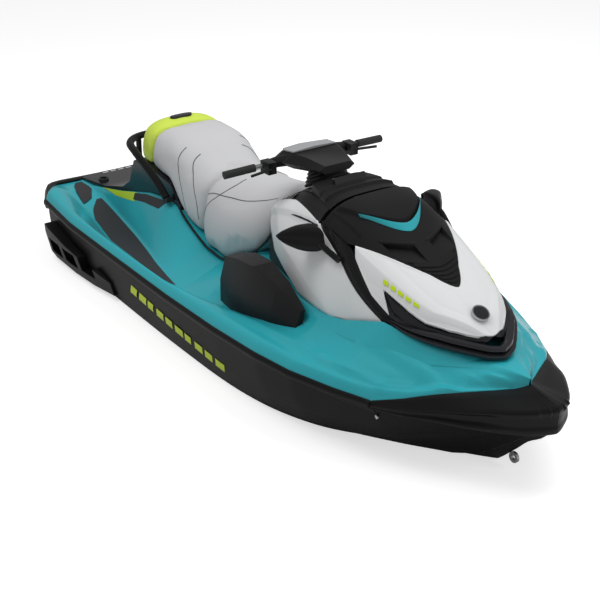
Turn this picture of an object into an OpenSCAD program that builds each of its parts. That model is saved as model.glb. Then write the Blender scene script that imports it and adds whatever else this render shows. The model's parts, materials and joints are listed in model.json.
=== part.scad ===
// Personal watercraft for three riders, afloat, with working steering, jet pump and lids.
// Millimetres. +X forward, +Y to port, +Z up. Every section below is drawn from the stern (x = 0)
// and from the keel (z = 0); place() then moves it so that the origin is on the waterline amidships.

/* [Overall] */
// Length from the rear edge of the deck to the tip of the bow
craft_length = 3318; // [2700:1:4000]
// Width over the rubbing rail
craft_beam = 1250; // [1000:1:1500]
// Height of the water above the keel
waterline_z = 200; // [120:1:260]

/* [Hull and deck] */
// Height of the joint between hull and deck amidships
bond_z = 462; // [400:1:560]
// Height of the footwell floor above the keel
floor_z = 430; // [380:1:500]
// Half width of the seat pedestal at the footwell floor
pedestal_half = 262; // [220:1:300]
// Height of the rubbing rail section
rail_h = 34; // [20:1:50]
// Thickness of the deck moulding under the footwells
deck_thick = 14; // [8:1:20]
// How far the rail stands out from the hull
rail_out = 16; // [8:1:30]
// Length of each side sponson
sponson_len = 690; // [400:1:900]

/* [Seat] */
// Height of the passenger seat above the keel
seat_rear_z = 965; // [850:1:1050]
// Height of the rider seat above the keel
seat_front_z = 885; // [800:1:980]
// Half width of the seat across its widest part
seat_half = 205; // [160:1:250]

/* [Steering] */
// Width over the grips
bar_width = 800; // [650:1:900]
// Outside diameter of the grips
grip_d = 34; // [28:1:40]
// Rake of the steering column from the vertical
column_rake = 28; // [10:1:45]
// Diameter of the steering column
column_d = 34; // [24:1:45]

/* [Jet pump] */
// Height of the jet axis above the keel
jet_z = 140; // [100:1:170]
// Bore of the pump
pump_bore_d = 159; // [140:1:180]
// Diameter of the impeller
impeller_d = 156; // [130:1:170]
// Number of impeller blades
blade_count = 3; // [3:1:4]
// Diameter of the jet at the nozzle outlet
jet_d = 86; // [70:1:100]

/* [Fittings] */
// Bore of the bow eye and the stern eyes
eye_bore_d = 20; // [14:1:28]
// Bore of the accessory sockets in the rear deck
socket_bore_d = 36; // [24:1:50]
// Fitting gap between pieces that are fastened together
fit_gap = 0.3; // [0.1:0.1:1]

/* [Hidden] */
$fn = 64;
sx = craft_length / 3318;
sy = craft_beam / 1250;
mid_x = 1660 * sx;
tunnel_r = 112;
glove_x = 1776 * sx;
hood_x0 = 2170;
bar_x = 1728 * sx;
bar_z = 1072;

teal = [0.07, 0.50, 0.56];
black = [0.08, 0.08, 0.09];
dark = [0.15, 0.15, 0.16];
white = [0.88, 0.89, 0.90];
grey = [0.70, 0.70, 0.71];
lime = [0.72, 0.86, 0.10];
metal = [0.70, 0.71, 0.72];

// ---------- helpers ----------

// Moves a child from stern-and-keel coordinates to the row frame.
module place() {
    translate([-mid_x, 0, -waterline_z]) children();
}

// Draws a child and its mirror image across the centreline.
module both_sides() {
    children();
    mirror([0, 1, 0]) children();
}

// Index of the row whose span holds x in a table of rows that start with x.
function span_of(rows, x, i = 0) =
    i >= len(rows) - 2 || x < rows[i + 1][0] ? i : span_of(rows, x, i + 1);

// Slope of column c at row i, from its neighbours.
function slope_at(rows, i, c) =
    let (a = max(i - 1, 0), b = min(i + 1, len(rows) - 1))
    (rows[b][c] - rows[a][c]) / (rows[b][0] - rows[a][0]);

// Smooth value of column c at x, through the rows of a table [[x, v1, v2, ...], ...].
function fair(rows, x, c = 1) =
    let (i = span_of(rows, x),
         w = rows[i + 1][0] - rows[i][0],
         t = min(max((x - rows[i][0]) / w, 0), 1),
         m0 = slope_at(rows, i, c) * w,
         m1 = slope_at(rows, i + 1, c) * w)
    rows[i][c] * (2 * t * t * t - 3 * t * t + 1) + m0 * (t * t * t - 2 * t * t + t)
    + rows[i + 1][c] * (3 * t * t - 2 * t * t * t) + m1 * (t * t * t - t * t);

// Straight-line value of column c at x.
function straight(rows, x, c = 1) =
    let (i = span_of(rows, x), t = min(max((x - rows[i][0]) / (rows[i + 1][0] - rows[i][0]), 0), 1))
    rows[i][c] * (1 - t) + rows[i + 1][c] * t;

// A closed section at x from its port half, listed from the bottom up as [y, z].
function ring(x, half) = concat(
    [for (p = half) [x, p[0], p[1]]],
    [for (i = [len(half) - 1:-1:0]) [x, -half[i][0], half[i][1]]]);

// Solid through rings of equal length; the ends are closed by strips between mirrored points.
module loft(rings) {
    n = len(rings[0]);
    m = len(rings);
    h = n / 2;
    last = (m - 1) * n;
    sides = [for (i = [0:m - 2]) for (j = [0:n - 1]) for (k = [0, 1])
        let (a = i * n + j, b = i * n + (j + 1) % n, c = b + n, d = a + n)
        k == 0 ? [a, c, b] : [a, d, c]];
    first_cap = [for (j = [0:h - 2]) for (k = [0, 1])
        k == 0 ? [j, j + 1, n - 2 - j] : [j, n - 2 - j, n - 1 - j]];
    last_cap = [for (f = first_cap) [f[0] + last, f[2] + last, f[1] + last]];
    polyhedron([for (r = rings) for (p = r) p], concat(sides, first_cap, last_cap), convexity = 8);
}

// Solid between two grids of points with the same rows and columns, whichever way round they run.
module slab(top, under) {
    m = len(top);
    n = len(top[0]);
    base = m * n;
    i0 = floor((m - 1) / 2);
    j0 = floor((n - 1) / 2);
    across = top[i0][j0 + 1] - top[i0][j0];
    along = top[i0 + 1][j0 + 1] - top[i0][j0 + 1];
    turned = cross(across, along) * (top[i0][j0] - under[i0][j0]) > 0;
    sheet = [for (i = [0:m - 2]) for (j = [0:n - 2]) for (k = [0, 1])
        let (a = i * n + j, b = a + 1, c = b + n, d = a + n)
        k == 0 ? [a, b, c] : [a, c, d]];
    other = [for (f = sheet) [f[0] + base, f[2] + base, f[1] + base]];
    edge = concat(
        [for (i = [0:m - 2]) [i * n, (i + 1) * n]],
        [for (j = [0:n - 2]) [(m - 1) * n + j, (m - 1) * n + j + 1]],
        [for (i = [m - 1:-1:1]) [i * n + n - 1, (i - 1) * n + n - 1]],
        [for (j = [n - 1:-1:1]) [j, j - 1]]);
    walls = [for (e = edge) for (k = [0, 1])
        k == 0 ? [e[0], e[1], e[1] + base] : [e[0], e[1] + base, e[0] + base]];
    faces = concat(sheet, other, walls);
    polyhedron(concat([for (r = top) for (p = r) p], [for (r = under) for (p = r) p]),
        turned ? [for (f = faces) [f[0], f[2], f[1]]] : faces, convexity = 8);
}

// Round bar between two points.
module bar(a, b, d) {
    v = b - a;
    l = norm(v);
    translate(a) rotate([0, acos(v[2] / l), atan2(v[1], v[0])]) cylinder(d = d, h = l);
}

// ---------- lines of the craft ----------

// x, half width of the deck edge, height of the rail; from x = 2760 on, the bow bumper lies outside it
rail_rows = [[0, 430, 485], [140, 522, 486], [500, 566, 486], [1000, 584, 486], [1500, 602, 489],
    [1900, 609, 496], [2200, 600, 501], [2400, 568, 495], [2600, 500, 485], [2760, 436, 480], [2860, 368, 510],
    [2930, 312, 537], [3000, 238, 556], [3050, 154, 558], [3110, 56, 561], [3156, 8, 584]];
// x, keel height, chine half width, chine height
bottom_rows = [[160, 20, 470, 190], [800, 4, 500, 182], [1500, 0, 524, 180], [2000, 6, 520, 188],
    [2400, 34, 452, 214], [2700, 84, 340, 262], [2900, 142, 224, 318], [3000, 190, 150, 350],
    [3110, 292, 72, 400], [3168, 352, 40, 420], [3234, 398, 20, 434], [3272, 436, 6, 443]];
// x, half width and height of the chin under the bow bumper
chin_rows = [[3052, 152, 446], [3110, 100, 446], [3168, 62, 446], [3234, 30, 446], [3272, 8, 446]];
hull_x = [160, 230, 300, 500, 700, 890, 1100, 1300, 1500, 1700, 1900, 2050, 2200, 2300, 2400, 2500, 2600, 2680,
    2760, 2800, 2860, 2930, 3000, 3050, 3052, 3110, 3168, 3234, 3272];

function edge_y(x) = straight(rail_rows, x, 1) * sy;
function rail_z(x) = straight(rail_rows, x, 2) + bond_z - 462;
function joint_z(x) = rail_z(x) - 26;
function keel_z(x) = fair(bottom_rows, x, 1);
function chine_y(x) = fair(bottom_rows, x, 2) * sy;
function chine_z(x) = fair(bottom_rows, x, 3);

// Port half of a hull section as [y, z]: keel, strake, chine and side. It runs up past the joint, and the
// deck's own space is then cut from it.
function hull_half(x) =
    let (k = keel_z(x), cy = chine_y(x), cz = chine_z(x), chin = x > 3051,
         ry = chin ? straight(chin_rows, x, 1) * sy : edge_y(x) - 2,
         rz = chin ? straight(chin_rows, x, 2) - 24 : joint_z(x))
    [[min(4, cy * 0.2), k], [cy * 0.42, k + (cz - k) * 0.36], [cy * 0.50, k + (cz - k) * 0.37],
     [cy * 0.96, cz - 6], [cy, cz], [cy + (ry - cy) * 0.40, cz + (rz - cz) * 0.20],
     [cy + (ry - cy) * 0.85, cz + (rz - cz) * 0.62], [ry, rz + 24]];

// ---------- hull ----------

module hull_body() {
    loft([for (x = hull_x) ring(x * sx, hull_half(x))]);
}

// Engine room, open upwards and closed by the deck.
module engine_room() {
    translate([1330 * sx, -240, 112]) cube([740 * sx, 480, 500]);
}

// Tunnel for the pump, open at the transom and at the keel.
module pump_tunnel() {
    translate([100 * sx, -tunnel_r, -60]) cube([640 * sx, 2 * tunnel_r, jet_z + 60]);
    translate([100 * sx, 0, jet_z]) rotate([0, 90, 0]) cylinder(r = tunnel_r, h = 640 * sx);
}

// Storage bin under the hood; the same box is cut from hull, deck and dash.
module storage_bin() {
    translate([2330 * sx, -150, 330]) cube([430 * sx, 300, 800]);
}

module hull() {
    color(black) place() resize([0, 0, 0]) difference() {
        hull_body();
        deck_seat();
        engine_room();
        pump_tunnel();
        storage_bin();
    }
}

// ---------- deck ----------

// x, gunwale height over the rail, height and half width of the floor's outer edge, half width and height
// of its inner edge, pedestal half width at its top, pedestal height
deck_rows = [
    [0, 6, 492, 360, 254, 492, 250, 496],
    [120, 40, 494, 372, 254, 494, 250, 498],
    [240, 50, 470, 378, 250, 470, 234, 520],
    [420, 54, 434, 392, 256, 434, 232, 560],
    [700, 56, 430, 452, 312, 430, 236, 636],
    [900, 56, 430, 464, 360, 430, 236, 664],
    [1060, 54, 430, 472, 400, 430, 236, 600],
    [1230, 52, 430, 478, 444, 430, 238, 530],
    [1400, 50, 436, 484, 474, 436, 240, 524],
    [1620, 48, 470, 490, 460, 486, 240, 632],
    [1800, 46, 500, 480, 400, 520, 290, 640],
    [2050, 46, 545, 450, 360, 545, 330, 640],
    [2300, 46, 570, 450, 372, 600, 335, 640],
    [2600, 42, 571, 420, 352, 617, 318, 640],
    [2760, 40, 563, 365, 300, 609, 256, 640],
    [2860, 24, 575, 300, 240, 616, 204, 640],
    [3000, 10, 602, 150, 100, 622, 62, 638],
    [3050, 8, 600, 100, 70, 618, 46, 634],
    [3110, 6, 590, 44, 34, 609, 24, 628],
    [3156, 3, 600, 7, 5, 610, 4, 620]];

function deck_floor(x) = straight(deck_rows, x, 2) + floor_z - 430;
function pedestal_z(x) = straight(deck_rows, x, 7);

// Port half of a deck section as [y, z], from the rail to the centreline.
function deck_half(x) =
    let (b = edge_y(x), z = rail_z(x) + 4, k = pedestal_half / 262,
         r = [for (c = [0:7]) straight(deck_rows, x, c)],
         f = floor_z - 430)
    [[b, z], [b * 0.965, z + r[1]], [(b + r[3] * sy) / 2, z + r[1]], [r[3] * sy, r[2] + f], [r[4] * k, r[5] + f],
     [r[6] * k, r[7]], [r[6] * k * 0.5, r[7]], [0, r[7]]];

function deck_line(x) =
    let (h = deck_half(x))
    concat([for (p = h) [x * sx, p[0], p[1]]], [for (i = [len(h) - 2:-1:0]) [x * sx, -h[i][0], h[i][1]]]);

deck_x = [0, 120, 140, 240, 420, 500, 700, 900, 1000, 1060, 1230, 1400, 1500, 1620, 1800, 1900, 2050, 2200,
    2300, 2400, 2600, 2760, 2860, 2930, 3000, 3050, 3110, 3156];

// Underside of the deck: the joint plane, dipping under the footwells by the deck's thickness.
function under_z(x, z) = min(joint_z(x) + fit_gap, z - deck_thick);

module deck_body() {
    top = [for (x = deck_x) deck_line(x)];
    under = [for (i = [0:len(deck_x) - 1]) [for (p = top[i]) [p[0], p[1], under_z(deck_x[i], p[2])]]];
    slab(top, under);
}

// The space over the hull that the deck fills.
module deck_seat() {
    low = [for (x = concat([-5], deck_x, [3165]))
        [for (p = deck_line(x)) [x * sx, p[1], under_z(x, p[2]) - fit_gap]]];
    high = [for (r = low) [for (p = r) [p[0], p[1], 900]]];
    slab(high, low);
}

module deck() {
    color(teal) place() resize([0, 0, 0]) difference() {
        deck_body();
        storage_bin();
        translate([1492 * sx, -183, 300]) cube([556 * sx, 366, 240]);
    }
}

// ---------- rail and bumpers ----------

module rubbing_rail() {
    xs = [126, 140, 500, 1000, 1500, 1900, 2200, 2400, 2600, 2750];
    top = [for (x = xs) let (b = edge_y(x) + fit_gap, z = rail_z(x))
        [[x * sx, b, z + 4], [x * sx, b + rail_out, z - 6]]];
    under = [for (x = xs) let (b = edge_y(x) + fit_gap, z = rail_z(x) - rail_h)
        [[x * sx, b, z + 8], [x * sx, b + rail_out, z + 12]]];
    color(dark) place() both_sides() slab(top, under);
}

// Outer x, outer half width, inner x, lower height, crease height, inner height
nose_rows = [[2758, 448, 2760, 446, 470, 484], [2880, 386, 2860, 448, 486, 517], [2980, 320, 2930, 450, 504, 544],
    [3080, 262, 3000, 452, 524, 562], [3170, 192, 3050, 452, 540, 566], [3256, 114, 3110, 452, 552, 572],
    [3304, 40, 3156, 452, 560, 594], [3318, 10, 3156.6, 456, 560, 594]];

module bow_bumper() {
    half = [for (r = nose_rows) [[r[2] * sx, (r[2] > 3156 ? 4 : edge_y(r[2]) + 1.2), r[5]],
        [r[0] * sx, r[1] * sy, r[4]]]];
    top = concat(half, [for (i = [len(half) - 1:-1:0]) [for (p = half[i]) [p[0], -p[1], p[2]]]]);
    rows = concat(nose_rows, [for (i = [len(nose_rows) - 1:-1:0]) nose_rows[i]]);
    under = [for (i = [0:len(top) - 1]) [[top[i][0][0], top[i][0][1], rows[i][3] + 14],
        [top[i][1][0] - 10, top[i][1][1] * 0.985, rows[i][3]]]];
    color(black) place() slab(under, top);
}

// Outer corner caps of the deck's rear edge.
module stern_bumpers() {
    xs = [-14, 0, 120];
    top = [for (x = xs) let (b = edge_y(max(x, 0)) + fit_gap)
        [[x * sx, b, 506], [x * sx, b + 14, 488]]];
    under = [for (x = xs) let (b = edge_y(max(x, 0)) + fit_gap)
        [[x * sx, b, 430], [x * sx, b + 14, 440]]];
    color(black) place() both_sides() {
        slab(top, under);
        translate([-14 * sx, 300, 430]) cube([13.7 * sx, edge_y(0) - 300 + fit_gap, 70]);
    }
}

// Half width of the hull side at height z.
function side_y(x, z) =
    let (h = hull_half(x), rows = [for (i = [4:7]) [h[i][1], h[i][0]]]) straight(rows, z, 1);

module sponsons() {
    x1 = 200 + sponson_len;
    xs = [230, 300, 500, 700, x1];
    out = [58, 62, 52, 40, 14];
    low = [250, 226, 214, 222, 276];
    high = [400, 396, 372, 342, 306];
    // The rows of height follow the breaks of the hull side.
    rows = [for (i = [0:4]) let (h = hull_half(xs[i]))
        [high[i], min(h[6][1], high[i] - 6), h[5][1], min(low[i], h[5][1] - 6)]];
    outer = [for (i = [0:4]) [for (z = rows[i]) [xs[i] * sx, side_y(xs[i], z) + out[i], z]]];
    inner = [for (i = [0:4]) [for (z = rows[i]) [xs[i] * sx, side_y(xs[i], z) - 12, z]]];
    color(black) place() resize([0, 0, 0]) difference() {
        both_sides() slab(outer, inner);
        scale([1, 1 + fit_gap / 480, 1]) hull_body();
        both_sides() for (i = [0:2])
            translate([(270 + 175 * i) * sx, 400, 262 + 8 * i]) cube([130 * sx, 300, 76]);
    }
}

// ---------- deck fittings ----------

// Everything below a surface that runs at a given height over the deck.
module deck_space(lift) {
    top = [for (x = deck_x) [for (p = deck_line(x)) [p[0], p[1], p[2] + lift]]];
    slab(top, [for (r = top) [for (p = r) [p[0], p[1], 300]]]);
}

// Pads on the deck inside an outline seen from above and inside its mirror image.
module pad(outline, thick) {
    intersection() {
        difference() {
            deck_space(fit_gap + thick);
            deck_space(fit_gap);
        }
        both_sides() translate([0, 0, 350]) linear_extrude(400) polygon([for (p = outline) [p[0] * sx, p[1] * sy]]);
    }
}

module footwell_mats() {
    long_mat = [[262, 262], [330, 326], [420, 366], [700, 440], [1060, 462], [1330, 473], [1336, 468],
        [1060, 410], [900, 370], [700, 322], [420, 266]];
    small_mat = [[36, 264], [52, 312], [290, 370], [258, 330], [150, 264]];
    color(dark) place() resize([0, 0, 0]) {
        pad(long_mat, 5);
        pad(small_mat, 5);
    }
}

// x, half width, underside and top of the black rear deck and seat base
platform_rows = [[0, 246, 500, 512], [240, 228, 524, 534], [420, 224, 564, 584], [500, 222, 590, 640],
    [550, 222, 602, 762], [700, 222, 640, 774], [900, 218, 668, 742], [985, 216, 642, 652]];

module rear_platform() {
    xs = [0, 120, 240, 420, 500, 550, 700, 900, 985];
    top = [for (x = xs) let (w = straight(platform_rows, x, 1), z = straight(platform_rows, x, 3))
        [[x * sx, w, z - 4], [x * sx, w * 0.86, z], [x * sx, 0, z], [x * sx, -w * 0.86, z], [x * sx, -w, z - 4]]];
    under = [for (r = top) [for (p = r) [p[0], p[1], pedestal_z(p[0] / sx) + fit_gap]]];
    color(black) place() difference() {
        slab(top, under);
        for (s = [-1, 1]) translate([150 * sx, s * 190, 400]) cylinder(r = socket_bore_d / 2 + 8.3, h = 300);
    }
}

// Seat section: x, half width at the base, half width at the top, base height, top height
function seat_half_ring(r) =
    let (b = r[1], t = r[2], z0 = r[3], z1 = r[4], h = z1 - z0)
    [[b * 0.94, z0], [b, z0 + h * 0.18], [b * 0.97, z0 + h * 0.5], [(b + t) / 2 * 0.98, z0 + h * 0.82],
     [t * 0.8, z1 - h * 0.04], [t * 0.4, z1]];

// Height of what carries the seat at x: the seat base at the rear, the pedestal in front of it.
function seat_ground(x) = (x <= 985 ? straight(platform_rows, x, 3) : pedestal_z(x)) + fit_gap;

// Solid through seat sections; each stands on the craft, or higher where its own base height asks for it.
module seat_body(rows) {
    loft([for (r = rows) ring(r[0] * sx, seat_half_ring([r[0], r[1], r[2], max(r[3], seat_ground(r[0])), r[4]]))]);
}

seat_k = seat_half / 205;
rider_rows = [[1170, 215, 150, 0, seat_front_z - 35], [1230, 240, 165, 0, seat_front_z - 16],
    [1300, 248, 165, 0, seat_front_z - 6], [1400, 248, 152, 0, seat_front_z],
    [1500, 236, 138, 0, seat_front_z + 12], [1620, 212, 124, 0, seat_front_z + 32],
    [1670, 188, 118, 690, seat_front_z + 34], [1700, 172, 108, 742, seat_front_z + 24]];
passenger_rows = [[716, 224, 176, 0, seat_rear_z + 6], [800, 232, 178, 0, seat_rear_z],
    [900, 236, 176, 0, seat_rear_z - 10], [984, 238, 172, 0, seat_rear_z - 34],
    [1000, 238, 171, 640, seat_rear_z - 42], [1060, 238, 166, 0, seat_rear_z - 74],
    [1166, 226, 152, 0, seat_rear_z - 112]];
cap_rows = [[552, 160, 110, 0, seat_rear_z - 60], [580, 190, 142, 0, seat_rear_z - 12],
    [630, 212, 166, 0, seat_rear_z + 8], [700, 222, 174, 0, seat_rear_z + 9], [712, 222, 174, 0, seat_rear_z + 8]];

module seat_front() {
    color(grey) place() scale([1, seat_k, 1]) seat_body(rider_rows);
}

module seat_rear() {
    color(grey) place() scale([1, seat_k, 1]) seat_body(passenger_rows);
}

module seat_cap() {
    color(lime) place() scale([1, seat_k, 1]) seat_body(cap_rows);
}

handle_path = [[922, 256, 688], [860, 262, 742], [760, 268, 800], [650, 262, 838], [545, 232, 850],
    [482, 150, 852], [470, 0, 852]];

module grab_handle() {
    color(black) place() both_sides() {
        for (i = [0:len(handle_path) - 2]) {
            a = handle_path[i];
            b = handle_path[i + 1];
            bar([a[0] * sx, a[1], a[2]], [b[0] * sx, b[1], b[2]], 30);
        }
        for (p = handle_path) translate([p[0] * sx, p[1], p[2]]) sphere(d = 30.6, $fn = 24);
        translate([900 * sx, 228, pedestal_z(900) + fit_gap]) cube([38 * sx, 36, 20]);
        translate([482 * sx, 150, straight(platform_rows, 498, 3) + 0.6]) cylinder(d = 28, h = 212);
    }
}

// ---------- dash, hood and side panels ----------

// x, half width at the base, height of the crown; the base stands on the deck
upper_rows = [[1700, 225, 905], [1850, 262, 985], [2000, 295, 1030], [2150, 316, 1050], [2300, 320, 1030],
    [2430, 308, 972], [2580, 285, 905], [2730, 245, 835], [2865, 165, 768], [2945, 80, 712], [2985, 24, 690]];
base_z = 640.4;

// Point on the upper body: q runs from 1 at the port base over 0 on the centreline to -1;
// d is the depth below the outer surface.
function skin(x, q, d = 0) =
    let (a = 90 * (1 - abs(q)), w = fair(upper_rows, x, 1) * sy - d, h = fair(upper_rows, x, 2) - base_z - d)
    [x * sx, sign(q) * w * pow(cos(a), 0.6), base_z + max(h, 4) * pow(sin(a), 0.8)];

// Shell patch of the upper body between the depths d0 and d1; the grid holds rows of [x, q].
module shell(grid, d0, d1) {
    slab([for (r = grid) [for (p = r) skin(p[0], p[1], d0)]],
        [for (r = grid) [for (p = r) skin(p[0], p[1], d1)]]);
}

// Grid from the rear edge to the front edge, each a list of [q, x].
function patch(rear, front, n) =
    [for (i = [0:n]) [for (j = [0:len(rear) - 1])
        [rear[j][1] + (front[j][1] - rear[j][1]) * i / n, rear[j][0] + (front[j][0] - rear[j][0]) * i / n]]];

module dash_body() {
    xs = [1716, 1850, 2000, 2150, 2300, 2430, 2580, 2730, 2865];
    qs = [1, 0.92, 0.84, 0.72, 0.6, 0.45, 0.3, 0.15, 0, -0.15, -0.3, -0.45, -0.6, -0.72, -0.84, -0.92, -1];
    top = [for (x = xs) [for (q = qs) skin(x, q, x > 2100 ? 44 : 31)]];
    under = [for (r = top) [for (p = r) [p[0], p[1], base_z - 0.1]]];
    color(black) place() resize([0, 0, 0]) difference() {
        slab(top, under);
        storage_bin();
        column_space(column_d / 2 + 14);
        translate([glove_x - 50, -90, 803]) cube([98, 180, 300]);
    }
}

// Room round the steering column and its bearing.
module column_space(r) {
    translate([stem_x, 0, stem_z]) rotate([0, -column_rake, 0]) translate([0, 0, -330]) cylinder(r = r, h = 330);
}

panel_rear = [[1, 1760], [0.9, 1750], [0.78, 1735], [0.62, 1722], [0.5, 1716]];
panel_front = [[1, 2640], [0.9, 2560], [0.78, 2420], [0.62, 2300], [0.5, 2170]];
band_front = [[1, 2700], [0.9, 2612], [0.78, 2492], [0.62, 2388], [0.5, 2330]];

module side_panels() {
    color(white) place() both_sides() shell(patch(panel_rear, panel_front, 9), 0, 24);
}

module dash_shroud_patch() {
    rear = [for (q = [0.497, 0.36, 0.24, 0.12, 0, -0.12, -0.24, -0.36, -0.497]) [q, 1716]];
    front = [for (q = [0.497, 0.36, 0.24, 0.12, 0, -0.12, -0.24, -0.36, -0.497]) [q, 2150]];
    shell(patch(rear, front, 6), 0, 24);
}

module spine_bands() {
    rear = [for (p = panel_front) [p[0], p[1] + 1]];
    color(black) place() both_sides() shell(patch(rear, band_front, 3), 0, 24);
}

module dash_shroud() {
    color(dark) place() resize([0, 0, 0]) difference() {
        dash_shroud_patch();
        column_space(column_d / 2 + 14);
        translate([glove_x - 54, -112, 800]) cube([108, 224, 300]);
    }
}

// The V-shaped edge between the white shell and the black centre of the hood.
function vent_q(x) = straight([[2300, 0.60], [2430, 0.46], [2560, 0.32], [2700, 0.10], [2732, 0]], x, 1);
// Lower edge of the hood along its length.
function hood_q(x) = straight([[2398, 0.62], [2500, 0.77], [2622, 0.87], [2730, 0.87], [2865, 0.79], [2920, 0.68],
    [2952, 0.53]], x, 1);

// Lines of q across the hood from port to starboard; behind the V tip the black centre lies between.
module hood_shell() {
    side = [2400, 2460, 2530, 2580, 2640, 2700, 2732];
    nose = [2732, 2790, 2865, 2920, 2950];
    color(white) place() resize([0, 0, 0]) {
        both_sides() shell([for (x = side) [for (k = [0:5]) let (a = hood_q(x), b = max(vent_q(x), 0.004))
            [x, a + (b - a) * k / 5]]], 0, 14);
        shell([for (x = nose) [for (k = [-5:5]) [x, -hood_q(x) * k / 5]]], 0, 14);
    }
}

module hood_vent() {
    xs = [hood_x0, 2220, 2300, 2400, 2430, 2500, 2560, 2630, 2700, 2726];
    color(black) place() shell([for (x = xs)
        [for (k = [-4:4]) let (b = x < 2400 ? 0.47 : vent_q(x + 4)) [x, -b * k / 4]]], 0, 14);
}

module hood_inlets() {
    xs = [2590, 2650, 2720, 2780, 2830];
    color(black) place() both_sides() shell([for (x = xs)
        let (t = (x - 2590) / 240, a = 0.84 - 0.02 * t, b = 0.72 + 0.06 * t) [[x, a], [x, (a + b) / 2], [x, b]]], -8, -0.5);
}

module hood_badge() {
    p = skin(2865, 0);
    n = skin(2890, 0) - skin(2840, 0);
    tilt = atan2(-n[2], n[0]);
    color(metal) place() translate(p) rotate([0, tilt, 0]) translate([0, 0, 0.4]) cylinder(d = 46, h = 5);
}

// Lip round the foot of the hood: x and how far it stands out from the upper body.
grille_rows = [[2600, 6], [2660, 16], [2730, 22], [2800, 25], [2865, 26], [2910, 26], [2945, 26], [2985, 26]];

module lower_grille() {
    outer = concat([for (r = grille_rows) [r[0] * sx, skin(r[0], 1)[1] + r[1]]], [[3012 * sx, 6]]);
    inner = concat([for (r = grille_rows) [r[0] * sx, skin(r[0], 1)[1] + 1.7]], [[2992 * sx, 3]]);
    wall = function (p, low, high) [[p[0], p[1], low], [p[0], p[1], high]];
    a = [for (p = outer) wall(p, base_z, 682)];
    b = [for (p = inner) wall(p, base_z, 682)];
    flip = function (rows) [for (i = [len(rows) - 1:-1:0]) [for (p = rows[i]) [p[0], -p[1], p[2]]]];
    color(black) place() slab(concat(a, flip(a)), concat(b, flip(b)));
}

// y, x and z of the centre, half length, half height
mirror_rows = [[424, 2108, 932, 4, 6], [402, 2132, 930, 28, 26], [356, 2160, 932, 44, 42], [316, 2188, 935, 62, 42],
    [292, 2206, 943, 60, 38], [284, 2208, 944, 48, 30]];

module mirror_housings() {
    rings = [for (r = mirror_rows) [for (k = [0:11]) let (a = (k + 0.5) * 30)
        [r[1] * sx + r[3] * cos(a), r[0], r[2] + r[4] * sin(a)]]];
    color(black) place() both_sides() {
        loft(rings);
        bar([2234 * sx, 304, 938], skin(2346, 0.62, -9.6), 19);
        translate(skin(2346, 0.62, -9.6)) sphere(d = 20, $fn = 32);
    }
}

module mirror_glass() {
    rows = [for (r = mirror_rows) if (r[0] < 410 && r[0] > 290)
        [r[1] * sx - r[3] * 0.966 - 0.3, r[0], r[2], r[4] * 0.62]];
    color(metal) place() both_sides() slab(
        [for (p = rows) [[p[0] - 3, p[1], p[2] + p[3]], [p[0] - 3, p[1], p[2] - p[3]]]],
        [for (p = rows) [[p[0], p[1], p[2] + p[3] * 0.4], [p[0], p[1], p[2] - p[3] * 0.4]]]);
}

// x, inner y, outer y, top z; the deck closes the underside
shield_rows = [[1640, 352, 400, 630], [1700, 350, 446, 700], [1830, 352, 474, 742], [1960, 360, 474, 752],
    [2100, 372, 452, 716], [2230, 384, 420, 640]];

module footwell_shields() {
    rings = [for (r = shield_rows) let (low = deck_floor(r[0]) - 40, mid = (r[3] + 500) / 2)
        [[r[0] * sx, r[1], low], [r[0] * sx, r[2], low], [r[0] * sx, r[2] - 2, mid], [r[0] * sx, r[2] - 30, r[3]],
         [r[0] * sx, r[1] - 14, r[3]], [r[0] * sx, r[1], mid]]];
    color(black) place() resize([0, 0, 0]) difference() {
        both_sides() loft(rings);
        deck_space(fit_gap);
    }
}

module gauge_display() {
    color(dark) place() translate([2040 * sx, 0, skin(2040, 0)[2] + 2.4]) rotate([0, -30, 0])
        translate([-8, -80, 0]) cube([16, 160, 44]);
}

glove_pin = [glove_x - 43, skin((glove_x - 43) / sx, 0)[2] - 9];
hood_pin = [(hood_x0 - 9) * sx, skin(hood_x0, 0)[2] - 14];

// Rod across the craft at [x, z], between two y values.
module cross_rod(at, y0, y1, d) {
    translate([at[0], y1, at[1]]) rotate([90, 0, 0]) cylinder(d = d, h = y1 - y0);
}

module glovebox_lid() {
    rear = [for (k = [-3:3]) [-k * 0.046, glove_x / sx - 38]];
    front = [for (k = [-3:3]) [-k * 0.044, glove_x / sx + 48]];
    color(dark) place() difference() {
        union() {
            shell(patch(rear, front, 3), 0, 8);
            cross_rod(glove_pin, -70.3, 70.3, 11.3);
        }
        cross_rod(glove_pin, -80, 80, 6.12);
    }
}

module hood_arms() {
    color(dark) place() both_sides() difference() {
        union() {
            cross_rod(hood_pin, 52, 78, 14);
            shell([for (x = [hood_x0 - 6, hood_x0 + 34]) [for (q = [0.034, 0.067]) [x, q]]], 17.2, 22);
        }
        cross_rod(hood_pin, 40, 90, 8.12);
    }
}

// Pins that the hood and the glovebox lid turn on, with the hood's brackets.
module lid_pins() {
    color(metal) place() {
        cross_rod(glove_pin, -111.7, 111.7, 6);
        both_sides() {
            cross_rod(hood_pin, 40, 84, 8);
            translate([hood_pin[0] - 36, 40, hood_pin[1] - 26])
                cube([42, 6, skin(2125, 0.1, 24)[2] - hood_pin[1] + 25.4]);
            translate([hood_pin[0] - 6, 40, hood_pin[1] - 26]) cube([12, 6, 31]);
        }
    }
}

// ---------- steering ----------

stem_x = 1850 * sx;
stem_z = 1052;

module on_column() {
    translate([stem_x, 0, stem_z]) rotate([0, -column_rake, 0]) children();
}

module steering_column() {
    color(metal) place() on_column() {
        translate([0, 0, -320]) cylinder(d = column_d, h = 300);
        translate([0, 0, -34]) cylinder(d = 62, h = 16);
    }
    color(metal) place() bar([stem_x, 0, stem_z - 12], [bar_x + 7.4, 0, bar_z], 26);
}

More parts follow.
